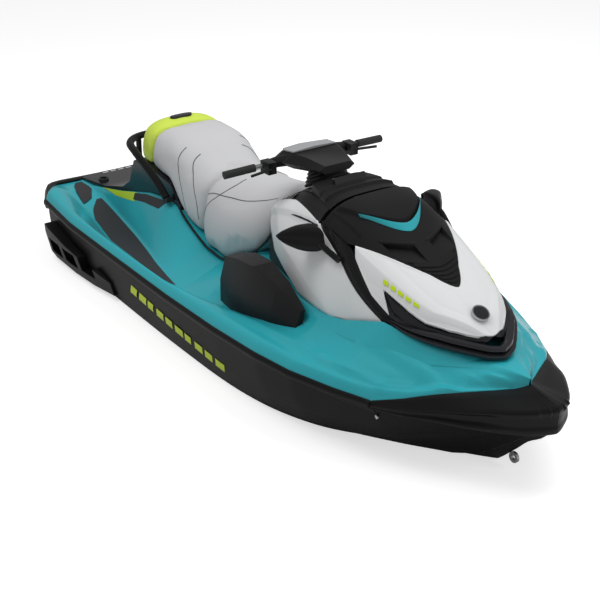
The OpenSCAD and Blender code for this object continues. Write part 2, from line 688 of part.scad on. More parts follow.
module steering_bearing() {
    color(dark) place() on_column() translate([0, 0, -300]) rotate_extrude()
        translate([column_d / 2 + 0.06, 0]) square([13.5, 60]);
}

bar_path = [[0, 0, 16], [6, 110, 18], [-4, 240, 8], [-22, bar_width / 2 - 4, -2]];

module handlebar() {
    color(metal) place() translate([bar_x, 0, bar_z]) both_sides() for (i = [0:2]) {
        bar(bar_path[i], bar_path[i + 1], 22);
        translate(bar_path[i + 1]) sphere(d = 22.4, $fn = 24);
    }
}

module grips() {
    a = bar_path[2];
    b = bar_path[3];
    color(black) place() translate([bar_x, 0, bar_z]) both_sides() {
        difference() {
            bar(a + (b - a) * 0.2, b + (b - a) * 0.12, grip_d);
            bar(a, b + (b - a) * 0.09, 23);
        }
    }
}

// x, half width, underside, top, all from the bar's centre
cover_rows = [[-70, 120, -8, 30], [-20, 168, -16, 46], [50, 160, -14, 54], [120, 124, -10, 50], [215, 90, -2, 34]];

module bar_cover() {
    color(black) place() resize([0, 0, 0]) difference() {
        translate([bar_x, 0, bar_z]) loft([for (r = cover_rows) ring(r[0], [[r[1] * 0.7, r[2]], [r[1], (r[2] + r[3]) / 2],
            [r[1] * 0.72, r[3]]])]);
        translate([bar_x, 0, bar_z]) both_sides() for (i = [0:2]) {
            bar(bar_path[i], bar_path[i + 1], 22.8);
            translate(bar_path[i + 1]) sphere(d = 23.4, $fn = 24);
        }
        on_column() translate([0, 0, -60]) cylinder(d = 63, h = 80);
        bar([stem_x, 0, stem_z - 12], [bar_x, 0, bar_z + 2], 27);
    }
}

module bar_pad() {
    top = [for (r = cover_rows) if (r[0] < 100) [for (q = [-1, -0.5, 0, 0.5, 1])
        [bar_x + r[0], q * r[1] * 0.70, bar_z + r[3] + 14 - 5 * abs(q)]]];
    under = [for (r = cover_rows) if (r[0] < 100) [for (q = [-1, -0.5, 0, 0.5, 1])
        [bar_x + r[0], q * r[1] * 0.70, bar_z + r[3] + 0.4]]];
    color(grey) place() slab(under, top);
}

module control_levers() {
    color(black) place() translate([bar_x, 0, bar_z]) both_sides() {
        bar([44, 222, 4], [58, 330, 0], 12);
        difference() {
            translate([-16, 196, -20]) cube([64, 40, 52]);
            bar(bar_path[1], bar_path[2], 22.8);
            bar(bar_path[2], bar_path[3], 22.8);
            translate(bar_path[2]) sphere(d = 22.8, $fn = 24);
        }
    }
}

// ---------- engine and jet pump ----------

module engine_block() {
    color(dark) place() translate([1500 * sx, -175, 112.3]) cube([540 * sx, 350, 420]);
}

pivot_x = 62;
gate_x = 112;

module pump_housing() {
    color(metal) place() translate([0, 0, jet_z]) rotate([0, 90, 0]) {
        rotate_extrude() polygon([[pump_bore_d / 2, 250], [pump_bore_d / 2, 400], [tunnel_r - 0.3, 400],
            [tunnel_r - 0.3, 388], [96, 388], [96, 172], [62, 116], [62, 46], [48, 46], [48, 116],
            [pump_bore_d / 2 - 2, 176]]);
        rotate_extrude() polygon([[11.06, 150], [11.06, 240], [30, 240], [34, 200], [22, 150]]);
        for (a = [45:90:315]) rotate([0, 0, a]) translate([28, -3, 176]) cube([54, 6, 60]);
    }
    color(metal) place() {
        for (s = [-1, 1]) translate([pivot_x, 0, jet_z + s * 73]) cylinder(d = 12, h = 26, center = true);
        for (s = [-1, 1]) translate([gate_x, s * 89, jet_z]) rotate([90, 0, 0]) cylinder(d = 12, h = 60, center = true);
    }
}

module impeller() {
    color(metal) place() translate([0, 0, jet_z]) rotate([0, 90, 0]) {
        translate([0, 0, 160]) cylinder(d = 22, h = 572);
        difference() {
            translate([0, 0, 262]) cylinder(d1 = 60, d2 = 40, h = 110);
            translate([0, 0, 250]) cylinder(d = 21, h = 140);
        }
        intersection() {
            for (k = [0:blade_count - 1]) rotate([0, 0, k * 360 / blade_count])
                for (j = [0:7]) rotate([0, 0, j * 15]) translate([20, -13, 272 + j * 10]) cube([70, 26, 11]);
            translate([0, 0, 260]) cylinder(d = impeller_d, h = 112);
        }
    }
}

module steering_nozzle() {
    color(metal) place() difference() {
        union() {
            translate([0, 0, jet_z]) rotate([0, 90, 0]) rotate_extrude()
                polygon([[74, 66], [82, 66], [82, 20], [56, -90], [jet_d / 2, -90], [66, 20]]);
            for (s = [-1, 1]) translate([pivot_x, 0, jet_z + s * 77]) cylinder(d = 30, h = 14, center = true);
        }
        for (s = [-1, 1]) translate([pivot_x, 0, jet_z + s * 77]) cylinder(d = 12.12, h = 40, center = true);
    }
}

gate_r = 226;
gate_arm_y = 114;

module reverse_gate() {
    color(metal) place() translate([gate_x, 0, jet_z]) {
        difference() {
            rotate([90, 0, 0]) translate([0, 0, -gate_arm_y - 4]) difference() {
                cylinder(r = gate_r + 8, h = 2 * gate_arm_y + 8, $fn = 96);
                translate([0, 0, -1]) cylinder(r = gate_r, h = 2 * gate_arm_y + 10, $fn = 96);
            }
            gate_cut();
        }
        for (s = [-1, 1]) difference() {
            union() {
                rotate([90, 0, 0]) translate([0, 0, s * gate_arm_y - 4]) cylinder(d = 36, h = 8);
                rotate([0, 62, 0]) translate([-gate_r - 4, s * gate_arm_y - 4, -16]) cube([gate_r + 4, 8, 32]);
            }
            rotate([90, 0, 0]) cylinder(d = 12.12, h = 400, center = true);
        }
    }
}

// Everything of the gate's shell outside its 66 degree bucket.
module gate_cut() {
    rotate([0, 95, 0]) translate([-400, -200, 0]) cube([800, 400, 400]);
    rotate([0, 29, 0]) translate([-400, -200, -400]) cube([800, 400, 400]);
}

module ride_plate() {
    color(metal) place() {
        translate([164, -tunnel_r + 0.3, 20]) cube([260, 2 * tunnel_r - 0.6, 8]);
        for (s = [-1, 1]) translate([164, s * (tunnel_r - 4.3) - 4, 27]) cube([260, 8, 60]);
    }
}

module intake_grate() {
    color(metal) place() {
        for (k = [-2:2]) translate([430, k * 40 - 5, 40]) cube([306, 10, 18]);
        for (x = [430, 722]) translate([x, -tunnel_r + 0.3, 50]) cube([14, 2 * tunnel_r - 0.6, 16]);
    }
}

// ---------- eyes and sockets ----------

module eye(p) {
    place() translate(p) rotate([90, 0, 0]) difference() {
        cylinder(d = eye_bore_d + 26, h = 12, center = true);
        cylinder(d = eye_bore_d, h = 30, center = true);
    }
}

eye_r = eye_bore_d / 2 + 13;
stem_a = [3060 * sx, keel_z(3060)];
stem_b = [3110 * sx, keel_z(3110)];
stem_n = [stem_b[1] - stem_a[1], stem_a[0] - stem_b[0]] / norm(stem_b - stem_a);
bow_eye_at = (stem_a + stem_b) / 2 + stem_n * (eye_r + fit_gap);

module bow_eye() {
    color(metal) eye([bow_eye_at[0], 0, bow_eye_at[1]]);
}

module stern_eyes() {
    color(metal) both_sides() eye([160 * sx - eye_r - fit_gap, 360, 380]);
}

module accessory_sockets() {
    z0 = pedestal_z(180) + 0.6;
    color(dark) place() both_sides() translate([150 * sx, 190, z0]) rotate_extrude()
        translate([socket_bore_d / 2, 0]) square([8, 28]);
}

// ---------- what is drawn ----------

hull();
deck();
rubbing_rail();
bow_bumper();
stern_bumpers();
sponsons();
footwell_mats();
rear_platform();
seat_front();
seat_rear();
seat_cap();
grab_handle();
side_panels();
spine_bands();
dash_shroud();
footwell_shields();
dash_body();
gauge_display();
mirror_housings();
mirror_glass();
lower_grille();
hood_shell();
hood_arms();
hood_vent();
hood_inlets();
hood_badge();
glovebox_lid();
lid_pins();
steering_column();
steering_bearing();
handlebar();
bar_cover();
bar_pad();
grips();
control_levers();
engine_block();
pump_housing();
impeller();
steering_nozzle();
reverse_gate();
ride_plate();
intake_grate();
bow_eye();
stern_eyes();
accessory_sockets();
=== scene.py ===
"""Looks of a sit-on personal watercraft afloat: hull, deck, seats, hood, steering and jet pump.

Section tables are in millimetres: x forward from the deck's rear edge, y to port from the centreline and
z up from the keel. Datum.place turns them into metres in the craft's own frame.
"""

import json
import logging
import math
from contextlib import contextmanager
from dataclasses import dataclass, field
from enum import Enum
from functools import reduce
from typing import Iterable, Iterator, Sequence

import bmesh
import bpy
import numpy as np
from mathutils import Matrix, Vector

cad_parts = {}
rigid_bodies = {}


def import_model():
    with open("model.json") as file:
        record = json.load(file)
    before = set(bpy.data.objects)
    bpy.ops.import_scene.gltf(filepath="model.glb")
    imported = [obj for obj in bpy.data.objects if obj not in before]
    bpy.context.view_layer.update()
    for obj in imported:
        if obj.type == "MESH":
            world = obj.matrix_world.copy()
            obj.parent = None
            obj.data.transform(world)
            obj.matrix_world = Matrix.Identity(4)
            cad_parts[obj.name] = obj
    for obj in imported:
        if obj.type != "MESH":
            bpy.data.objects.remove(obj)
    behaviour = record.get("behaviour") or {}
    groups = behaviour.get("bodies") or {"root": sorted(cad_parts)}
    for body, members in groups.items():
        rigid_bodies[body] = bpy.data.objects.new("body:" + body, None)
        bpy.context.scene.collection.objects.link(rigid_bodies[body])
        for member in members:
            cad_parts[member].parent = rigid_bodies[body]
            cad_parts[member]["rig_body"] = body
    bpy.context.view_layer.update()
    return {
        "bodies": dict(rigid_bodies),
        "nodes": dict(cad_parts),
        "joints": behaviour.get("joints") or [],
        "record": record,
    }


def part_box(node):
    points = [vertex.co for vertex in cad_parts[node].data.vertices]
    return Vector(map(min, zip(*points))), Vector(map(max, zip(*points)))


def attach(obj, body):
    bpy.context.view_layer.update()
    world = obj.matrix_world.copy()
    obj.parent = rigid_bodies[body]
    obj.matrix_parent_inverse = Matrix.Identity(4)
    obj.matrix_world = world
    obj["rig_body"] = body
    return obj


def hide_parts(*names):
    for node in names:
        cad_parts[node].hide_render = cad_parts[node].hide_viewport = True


LOG = logging.getLogger("watercraft")
Array = np.ndarray
Rows = Sequence[Sequence[float]]


# ---------- lines ----------


def straight(rows: Rows, x: Array, column: int = 1) -> Array:
    """Straight-line value of one column of a table at each x."""
    table = np.asarray(rows, float)
    return np.interp(x, table[:, 0], table[:, column])


def fair(rows: Rows, x: Array, column: int = 1) -> Array:
    """Smooth value of one column of a table at each x.

    Each span is a cubic whose end slopes are those of the chord between the two neighbouring rows.

    Args:
        rows: table whose first column is the position.
        x: positions to read.
        column: column to read.

    Returns:
        The values, in the shape of x.
    """
    table = np.asarray(rows, float)
    at, value = table[:, 0], table[:, column]
    index = np.arange(len(at))
    low = np.maximum(index - 1, 0)
    high = np.minimum(index + 1, len(at) - 1)
    slope = (value[high] - value[low]) / (at[high] - at[low])
    i = np.clip(np.searchsorted(at, x, side="right") - 1, 0, len(at) - 2)
    width = at[i + 1] - at[i]
    t = np.clip((x - at[i]) / width, 0, 1)
    rise = value[i] * (2 * t**3 - 3 * t**2 + 1) + value[i + 1] * (3 * t**2 - 2 * t**3)
    lean = slope[i] * (t**3 - 2 * t**2 + t) + slope[i + 1] * (t**3 - t**2)
    return rise + lean * width


def points_of(x: Array, y: Array, z: Array) -> Array:
    """Stacks three arrays that broadcast together into points."""
    return np.stack(np.broadcast_arrays(x, y, z), axis=-1).astype(float)


def rounded(lines: Array, radii: Sequence[float], arc: int = 4, flat: int = 1) -> Array:
    """Rounds the corners of many section outlines at once.

    A corner is cut back along both sides by its radius, or by 0.48 of a shorter side, and a quadratic
    curve that leaves along one side and arrives along the other fills the cut.

    Args:
        lines: k corner lines of n points each, as k x n x 3.
        radii: cut for each inner line, k - 2 values.
        arc: parts in a rounded corner.
        flat: parts in a side between two corners.

    Returns:
        A grid of n sections, each running across all the lines.
    """
    corners = np.asarray(lines, float)
    middle = corners[1:-1]
    back = corners[:-2] - middle
    ahead = corners[2:] - middle
    cut = np.asarray(radii, float)[:, None, None]
    back_length = np.maximum(np.linalg.norm(back, axis=-1, keepdims=True), 1e-6)
    ahead_length = np.maximum(np.linalg.norm(ahead, axis=-1, keepdims=True), 1e-6)
    enter = middle + back * np.minimum(cut / back_length, 0.48)
    leave = middle + ahead * np.minimum(cut / ahead_length, 0.48)
    side_from = np.concatenate([corners[:1], leave])
    side_to = np.concatenate([enter, corners[-1:]])
    s = np.linspace(0, 1, flat + 1)[:, None, None]
    t = np.linspace(0, 1, arc + 1)[1:-1, None, None]
    strips = []
    for j in range(len(side_from)):
        strips.append(side_from[j] * (1 - s) + side_to[j] * s)
        if j < len(middle):
            strips.append((1 - t) ** 2 * enter[j] + 2 * t * (1 - t) * middle[j] + t**2 * leave[j])
    return np.concatenate(strips).transpose(1, 0, 2)


def ridge(points: Array, start: tuple[float, float], end: tuple[float, float], width: float) -> Array:
    """Roof-shaped bump: 1 on the line from start to end in plan, falling straight to 0 at the width.

    Args:
        points: grid of points, of which x and y are read.
        start: one end of the line, in plan.
        end: the other end.
        width: distance at which the bump has gone.

    Returns:
        The height of the bump at each point, from 0 to 1.
    """
    a = np.asarray(start, float)
    run = np.asarray(end, float) - a
    offset = points[..., :2] - a
    t = np.clip((offset @ run) / (run @ run), 0, 1)
    gap = np.linalg.norm(offset - t[..., None] * run, axis=-1)
    return np.clip(1 - gap / width, 0, 1)


# ---------- surfaces ----------


@dataclass
class Surface:
    """A mesh in station coordinates: points, and faces as lists of point numbers."""

    points: Array
    faces: list[list[int]]

    @classmethod
    def grid(cls, grid: Array, wrap: bool = False, capped: bool = False,
             skip: Array | None = None) -> "Surface":
        """Joins a grid of points into four-sided faces.

        Args:
            grid: m x n x 3 points.
            wrap: joins the last column to the first.
            capped: closes the first and last rows of a wrapped grid.
            skip: mask of the faces to leave out.

        Returns:
            The surface.
        """
        m, n = grid.shape[:2]
        number = np.arange(m * n).reshape(m, n)
        right = np.roll(number, -1, axis=1) if wrap else number[:, 1:]
        left = number if wrap else number[:, :-1]
        quads = np.stack([left[:-1], right[:-1], right[1:], left[1:]], axis=-1)
        if skip is not None:
            quads = quads[~skip]
        faces = quads.reshape(-1, 4).tolist()
        if capped:
            faces += [number[0, ::-1].tolist(), number[-1].tolist()]
        return cls(grid.reshape(-1, 3), faces)

    @classmethod
    def tube(cls, path: Array, radius: Array | float, sides: int = 16, flatten: float = 1.0) -> "Surface":
        """Carries a circle along a path and closes its ends.

        Each ring stands square to the path's direction; its two axes are the direction crossed with
        world up, and that crossed with the direction.

        Args:
            path: n x 3 points.
            radius: one radius, or one for each point.
            sides: points in a ring.
            flatten: height of the section as a share of its width.

        Returns:
            The surface.
        """
        path = np.asarray(path, float)
        along = np.gradient(path, axis=0)
        along /= np.linalg.norm(along, axis=1, keepdims=True)
        up = np.where(np.abs(along[:, 2:3]) > 0.9, [[1.0, 0.0, 0.0]], [[0.0, 0.0, 1.0]])
        across = np.cross(along, up)
        across /= np.linalg.norm(across, axis=1, keepdims=True)
        upward = np.cross(across, along)
        angle = np.linspace(0, 2 * np.pi, sides, endpoint=False)
        r = np.broadcast_to(np.asarray(radius, float), len(path))[:, None, None]
        turn, lift = np.cos(angle)[None, :, None], np.sin(angle)[None, :, None]
        ring = across[:, None] * turn + upward[:, None] * lift * flatten
        return cls.grid(path[:, None] + ring * r, wrap=True, capped=True)

    @classmethod
    def block(cls, low: Sequence[float], high: Sequence[float]) -> "Surface":
        """A box between two corners."""
        corner = np.array([[x, y, z] for z in (0, 1) for x, y in ((0, 0), (1, 0), (1, 1), (0, 1))], float)
        points = np.asarray(low, float) + corner * (np.asarray(high, float) - np.asarray(low, float))
        faces = [[3, 2, 1, 0], [4, 5, 6, 7], [0, 1, 5, 4], [1, 2, 6, 5], [2, 3, 7, 6], [3, 0, 4, 7]]
        return cls(points, faces)

    @classmethod
    def sweep(cls, plan: Array, section: Array) -> "Surface":
        """Carries a closed section along a level path and closes its ends.

        Args:
            plan: n x 3 points of the path, of which z is added to the section's heights.
            section: k points or n x k points of (distance to the right of the path, height).

        Returns:
            The surface.
        """
        along = np.gradient(plan[:, :2], axis=0)
        along /= np.linalg.norm(along, axis=1, keepdims=True)
        right = np.stack([along[:, 1], -along[:, 0], np.zeros(len(plan))], axis=-1)
        section = np.broadcast_to(np.asarray(section, float), (len(plan), *np.shape(section)[-2:]))
        up = np.array([0.0, 0.0, 1.0])
        grid = plan[:, None] + right[:, None] * section[..., :1] + up * section[..., 1:]
        return cls.grid(grid, wrap=True, capped=True)

    @classmethod
    def turned(cls, profile: Rows, foot: Sequence[float], axis: Sequence[float],
               sides: int = 48) -> "Surface":
        """Turns a profile of (radius, height) round an axis; its first and last points are closed."""
        up = np.asarray(axis, float) / np.linalg.norm(axis)
        side = np.cross(up, [0.0, 1.0, 0.0] if abs(up[1]) < 0.9 else [1.0, 0.0, 0.0])
        side /= np.linalg.norm(side)
        other = np.cross(up, side)
        angle = np.linspace(0, 2 * np.pi, sides, endpoint=False)[None, :, None]
        table = np.asarray(profile, float)
        ring = side * np.cos(angle) + other * np.sin(angle)
        grid = np.asarray(foot, float) + ring * table[:, None, :1] + up * table[:, None, 1:]
        return cls.grid(grid, wrap=True, capped=True)

    def mirrored(self) -> "Surface":
        """The same surface on the other side of the craft."""
        return Surface(self.points * [1, -1, 1], [face[::-1] for face in self.faces])

    def both_sides(self) -> "Surface":
        """The surface with its mirror image."""
        return self + self.mirrored()

    def __add__(self, other: "Surface") -> "Surface":
        """One surface that holds both."""
        shift = len(self.points)
        moved = [[i + shift for i in face] for face in other.faces]
        return Surface(np.concatenate([self.points, other.points]), self.faces + moved)


def joined(parts: Iterable[Surface]) -> Surface:
    """One surface that holds all the parts, in their order."""
    return reduce(Surface.__add__, parts)


def smooth_path(corners: Rows, count: int) -> Array:
    """Smooth curve through corner points, spaced by the corners' own number."""
    table = np.asarray(corners, float)
    rows = np.column_stack([np.arange(len(table)), table])
    at = np.linspace(0, len(table) - 1, count)
    return np.stack([fair(rows, at, c) for c in (1, 2, 3)], axis=-1)


# ---------- scene helpers ----------


def in_scene(name: str, data: bpy.types.ID | None) -> bpy.types.Object:
    """A new object of this data, put in the scene."""
    made = bpy.data.objects.new(name, data)
    bpy.context.scene.collection.objects.link(made)
    return made


@contextmanager
def editing(mesh: bpy.types.Mesh) -> Iterator[bmesh.types.BMesh]:
    """Lends an editable form of a mesh and writes it back afterwards."""
    work = bmesh.new()
    work.from_mesh(mesh)
    yield work
    work.to_mesh(mesh)
    work.free()


def add_node(
    tree: bpy.types.NodeTree, kind: str, values: dict | None = None, **settings: object
) -> bpy.types.Node:
    """Adds a shader node, with its settings and the values of its inputs."""
    made = tree.nodes.new("ShaderNode" + kind)
    for name, value in settings.items():
        setattr(made, name, value)
    for socket, value in (values or {}).items():
        made.inputs[socket].default_value = value
    return made


def wire(tree: bpy.types.NodeTree, *pairs: tuple[bpy.types.NodeSocket, bpy.types.NodeSocket]) -> None:
    """Links each output to the input beside it."""
    for source, target in pairs:
        tree.links.new(source, target)


# ---------- finishes ----------


class Texture(Enum):
    """Fine relief of a finish."""

    POLISHED = "polished"
    MOULDED = "moulded"
    LEATHER = "leather"
    MAT = "mat"
    CAST = "cast"
    BRUSHED = "brushed"


class ShaderGroups:
    """Node groups that several finishes share. They put out only masks, factors and heights."""

    def __init__(self) -> None:
        """Builds every group once."""
        # group whose mask paints a highlight on sharply convex edges
        self.drift = self._drift()
        self.edge_highlight = self._edge_highlight()
        self.relief = {texture: self._relief(texture) for texture in Texture}

    @staticmethod
    def _group(
        name: str, inputs: dict[str, float], output: str
    ) -> tuple[bpy.types.NodeTree, dict[str, object]]:
        """An empty group with float inputs and one float output, and its end nodes."""
        tree = bpy.data.node_groups.new(name, "ShaderNodeTree")
        for label, value in inputs.items():
            socket = tree.interface.new_socket(name=label, in_out="INPUT", socket_type="NodeSocketFloat")
            socket.default_value = value
        tree.interface.new_socket(name=output, in_out="OUTPUT", socket_type="NodeSocketFloat")
        ends = {"in": tree.nodes.new("NodeGroupInput"), "out": tree.nodes.new("NodeGroupOutput")}
        return tree, ends

    def _drift(self) -> bpy.types.NodeTree:
        """Slow change of tone: low noise mapped to 1 - Amount .. 1 + Amount."""
        tree, ends = self._group("tone_drift", {"Scale": 4.0, "Amount": 0.05}, "Factor")
        place = add_node(tree, "TexCoord")
        noise = add_node(tree, "TexNoise", {"Detail": 4.0})
        centred = add_node(tree, "Math", {1: 2.0, 2: -1.0}, operation="MULTIPLY_ADD")
        scaled = add_node(tree, "Math", {2: 1.0}, operation="MULTIPLY_ADD")
        wire(tree,
             (place.outputs["Object"], noise.inputs["Vector"]),
             (ends["in"].outputs["Scale"], noise.inputs["Scale"]),
             (noise.outputs["Fac"], centred.inputs[0]),
             (centred.outputs[0], scaled.inputs[0]),
             (ends["in"].outputs["Amount"], scaled.inputs[1]),
             (scaled.outputs[0], ends["out"].inputs["Factor"]))
        return tree

    def _edge_highlight(self) -> bpy.types.NodeTree:
        """Painted edge highlight: a mask that rises where the surface is sharply convex."""
        tree, ends = self._group("painted_edge_highlight", {"Amount": 0.2}, "Mask")
        shape = add_node(tree, "NewGeometry")
        ramp = add_node(tree, "MapRange", {"From Min": 0.53, "From Max": 0.64})
        weigh = add_node(tree, "Math", operation="MULTIPLY")
        wire(tree,
             (shape.outputs["Pointiness"], ramp.inputs["Value"]),
             (ramp.outputs["Result"], weigh.inputs[0]),
             (ends["in"].outputs["Amount"], weigh.inputs[1]),
             (weigh.outputs[0], ends["out"].inputs["Mask"]))
        return tree

    def _relief(self, texture: Texture) -> bpy.types.NodeTree:
        """Height of a finish's fine relief.

        Leather is the distance to the edges of small cells; a mat is a field of small squares; cast and
        moulded skins are noise; a brushed one is noise drawn out along the craft.
        """
        tree, ends = self._group("relief_" + texture.value, {"Scale": 400.0}, "Height")
        place = add_node(tree, "TexCoord")
        output = "Distance"
        if texture is Texture.LEATHER:
            source = add_node(tree, "TexVoronoi", feature="DISTANCE_TO_EDGE")
        elif texture is Texture.MAT:
            source = add_node(tree, "TexVoronoi", {"Randomness": 0.0}, feature="F1", distance="CHEBYCHEV")
        else:
            source = add_node(tree, "TexNoise", {"Detail": 3.0})
            output = "Fac"
        stretch = (0.06, 1.0, 1.0) if texture is Texture.BRUSHED else (1.0, 1.0, 1.0)
        mapping = add_node(tree, "Mapping", {"Scale": stretch})
        wire(tree,
             (place.outputs["Object"], mapping.inputs["Vector"]),
             (mapping.outputs["Vector"], source.inputs["Vector"]),
             (ends["in"].outputs["Scale"], source.inputs["Scale"]),
             (source.outputs[output], ends["out"].inputs["Height"]))
        return tree


@dataclass(frozen=True)
class Finish:
    """One finish: its colour, gloss and fine relief."""

    name: str
    slot: str
    colour: tuple[float, float, float]
    roughness: float
    texture: Texture = Texture.MOULDED
    scale: float = 900.0
    relief: float = 0.0002
    strength: float = 0.3
    metallic: float = 0.0
    coat: float = 0.0
    drift: float = 0.05
    # painted highlight on sharply convex edges: its amount and its lighter colour
    edge_highlight: float = 0.25
    edge_highlight_colour: tuple[float, float, float] = (0.3, 0.3, 0.3)
    sheen: float = 0.0
    specular: float = 0.5

    def material(self, groups: ShaderGroups) -> bpy.types.Material:
        """Builds the material, or finds the one already built."""
        made = bpy.data.materials.get(self.name)
        if made:
            return made
        made = bpy.data.materials.new(self.name)
        made.use_nodes = True
        tree = made.node_tree
        shader = tree.nodes["Principled BSDF"]
        values = {"Metallic": self.metallic, "Coat Weight": self.coat, "Coat Roughness": 0.04,
                  "Sheen Weight": self.sheen, "Specular IOR Level": self.specular}
        for label, value in values.items():
            shader.inputs[label].default_value = value
        self._paint(tree, shader, groups)
        self._emboss(tree, shader, groups)
        return made

    def _paint(self, tree: bpy.types.NodeTree, shader: bpy.types.Node, groups: ShaderGroups) -> None:
        """Colour times the slow drift, mixed towards a lighter colour on sharply convex edges as a painted
        highlight; roughness follows the drift.
        """
        drift = add_node(tree, "Group", {"Scale": 3.0, "Amount": self.drift}, node_tree=groups.drift)
        tone = add_node(tree, "Mix", {"Factor": 1.0, "A": (*self.colour, 1.0)},
                        data_type="RGBA", blend_type="MULTIPLY")
        # painted highlight: sharply convex edges are mixed towards a lighter colour
        edge = add_node(tree, "Group", {"Amount": self.edge_highlight}, node_tree=groups.edge_highlight)
        highlighted = add_node(tree, "Mix", {"B": (*self.edge_highlight_colour, 1.0)}, data_type="RGBA")
        rough = add_node(tree, "Math", {1: self.roughness}, operation="MULTIPLY")
        wire(tree,
             (drift.outputs["Factor"], tone.inputs["B"]),
             (tone.outputs["Result"], highlighted.inputs["A"]),
             (edge.outputs["Mask"], highlighted.inputs["Factor"]),
             (highlighted.outputs["Result"], shader.inputs["Base Color"]),
             (drift.outputs["Factor"], rough.inputs[0]),
             (rough.outputs[0], shader.inputs["Roughness"]))

    def _emboss(self, tree: bpy.types.NodeTree, shader: bpy.types.Node, groups: ShaderGroups) -> None:
        """Sends the texture's height to the shader's normal through one bump."""
        relief = add_node(tree, "Group", {"Scale": self.scale}, node_tree=groups.relief[self.texture])
        bump = add_node(tree, "Bump", {"Strength": self.strength, "Distance": self.relief})
        wire(tree,
             (relief.outputs["Height"], bump.inputs["Height"]),
             (bump.outputs["Normal"], shader.inputs["Normal"]))


# Each finish's edge highlight values paint a lighter colour on its sharply convex edges as a highlight.
GELCOAT = Finish("teal_gelcoat", "teal_gelcoat", (0.004, 0.150, 0.192), 0.16, Texture.POLISHED, 60, 0.0002,
                 0.05, coat=0.45, drift=0.03, edge_highlight=0.06, specular=0.3, edge_highlight_colour=(0.2, 0.6, 0.65))
HULL_BLACK = Finish("hull_polymer", "black_hull", (0.0075, 0.0075, 0.008), 0.42, Texture.MOULDED, 700, 0.0003,
                    0.25, edge_highlight=0.04, specular=0.2)
TRIM_BLACK = Finish("trim_polymer", "black_plastic", (0.008, 0.0078, 0.008), 0.36, Texture.MOULDED, 1400,
                    0.0003, 0.3, edge_highlight=0.08, specular=0.22)
SOFT_BLACK = Finish("soft_polymer", "black_plastic", (0.013, 0.012, 0.013), 0.44, Texture.MOULDED, 1600,
                    0.0004, 0.4, edge_highlight=0.08, specular=0.22)
GLOSS_BLACK = Finish("gloss_black", "gloss_black", (0.006, 0.006, 0.007), 0.10, Texture.POLISHED, 50, 0.0002,
                     0.04, coat=1.0, edge_highlight=0.08)
WHITE = Finish("white_panel", "white_panel", (0.60, 0.62, 0.635), 0.20, Texture.POLISHED, 60, 0.0002, 0.05,
               coat=0.8, drift=0.02, edge_highlight=0.0)
SEAT_GREY = Finish("grey_vinyl", "grey_vinyl", (0.53, 0.53, 0.54), 0.50, Texture.LEATHER, 420, 0.0005, 0.35,
                   drift=0.03, edge_highlight=0.0, sheen=0.15)
SEAT_LIME = Finish("lime_vinyl", "lime_vinyl", (0.56, 0.73, 0.035), 0.48, Texture.LEATHER, 420, 0.0005, 0.35,
                   drift=0.03, edge_highlight=0.0, sheen=0.1)
SEAM = Finish("seam_thread", "grey_vinyl", (0.10, 0.10, 0.11), 0.6, Texture.LEATHER, 900, 0.0003, 0.4,
              edge_highlight=0.0)
PIPING = Finish("seat_piping", "black_plastic", (0.012, 0.012, 0.014), 0.5, Texture.LEATHER, 900, 0.0003, 0.4,
                edge_highlight=0.0)
MAT_DARK = Finish("deck_mat", "deck_mat", (0.011, 0.0105, 0.011), 0.72, Texture.MAT, 130, 0.0012, 0.6,
                  edge_highlight=0.05, specular=0.25)
LIME_MARK = Finish("lime_mark", "lime_vinyl", (0.62, 0.80, 0.01), 0.32, Texture.POLISHED, 90, 0.0002, 0.1,
                   edge_highlight=0.0)
PALE_MARK = Finish("pale_mark", "white_panel", (0.62, 0.63, 0.64), 0.35, Texture.POLISHED, 90, 0.0002, 0.1,
                   edge_highlight=0.0)
TEAL_MARK = Finish("teal_mark", "teal_gelcoat", (0.03, 0.42, 0.48), 0.3, Texture.POLISHED, 90, 0.0002, 0.1,
                   edge_highlight=0.0)
PAD_GREY = Finish("pad_grey", "pad_grey", (0.26, 0.26, 0.27), 0.45, Texture.MOULDED, 1500, 0.0004, 0.35)
GRIP = Finish("grip_rubber", "grip_rubber", (0.015, 0.015, 0.016), 0.62, Texture.MAT, 420, 0.0009, 0.5,
              edge_highlight=0.05)
CAST = Finish("cast_aluminium", "cast_aluminium", (0.45, 0.46, 0.48), 0.42, Texture.CAST, 500, 0.0006, 0.45,
              metallic=1.0, edge_highlight_colour=(0.8, 0.8, 0.8))
STEEL = Finish("brushed_steel", "stainless", (0.56, 0.57, 0.58), 0.26, Texture.BRUSHED, 700, 0.0002, 0.3,
               metallic=1.0, edge_highlight_colour=(0.8, 0.8, 0.8))
GLASS = Finish("mirror_glass", "mirror_glass", (0.85, 0.86, 0.87), 0.03, Texture.POLISHED, 30, 0.0001, 0.02,
               metallic=1.0, edge_highlight=0.0)
IRON = Finish("engine_paint", "engine", (0.06, 0.06, 0.065), 0.5, Texture.CAST, 300, 0.0008, 0.5)
SCREEN = Finish("dark_display", "display", (0.004, 0.004, 0.005), 0.08, Texture.POLISHED, 30, 0.0001, 0.02,
                coat=1.0, edge_highlight=0.0)


# ---------- making pieces ----------


@dataclass(frozen=True)
class Datum:
    """Where the section tables are measured from, in the craft's own frame, in metres."""

    stern: float
    keel: float

    def place(self, points: Array) -> Array:
        """Station millimetres to metres in the craft's frame."""
        return points / 1000.0 + np.array([self.stern, 0.0, self.keel])

    def measure(self, points: Array) -> Array:
        """Metres in the craft's frame to station millimetres."""
        return (points - np.array([self.stern, 0.0, self.keel])) * 1000.0


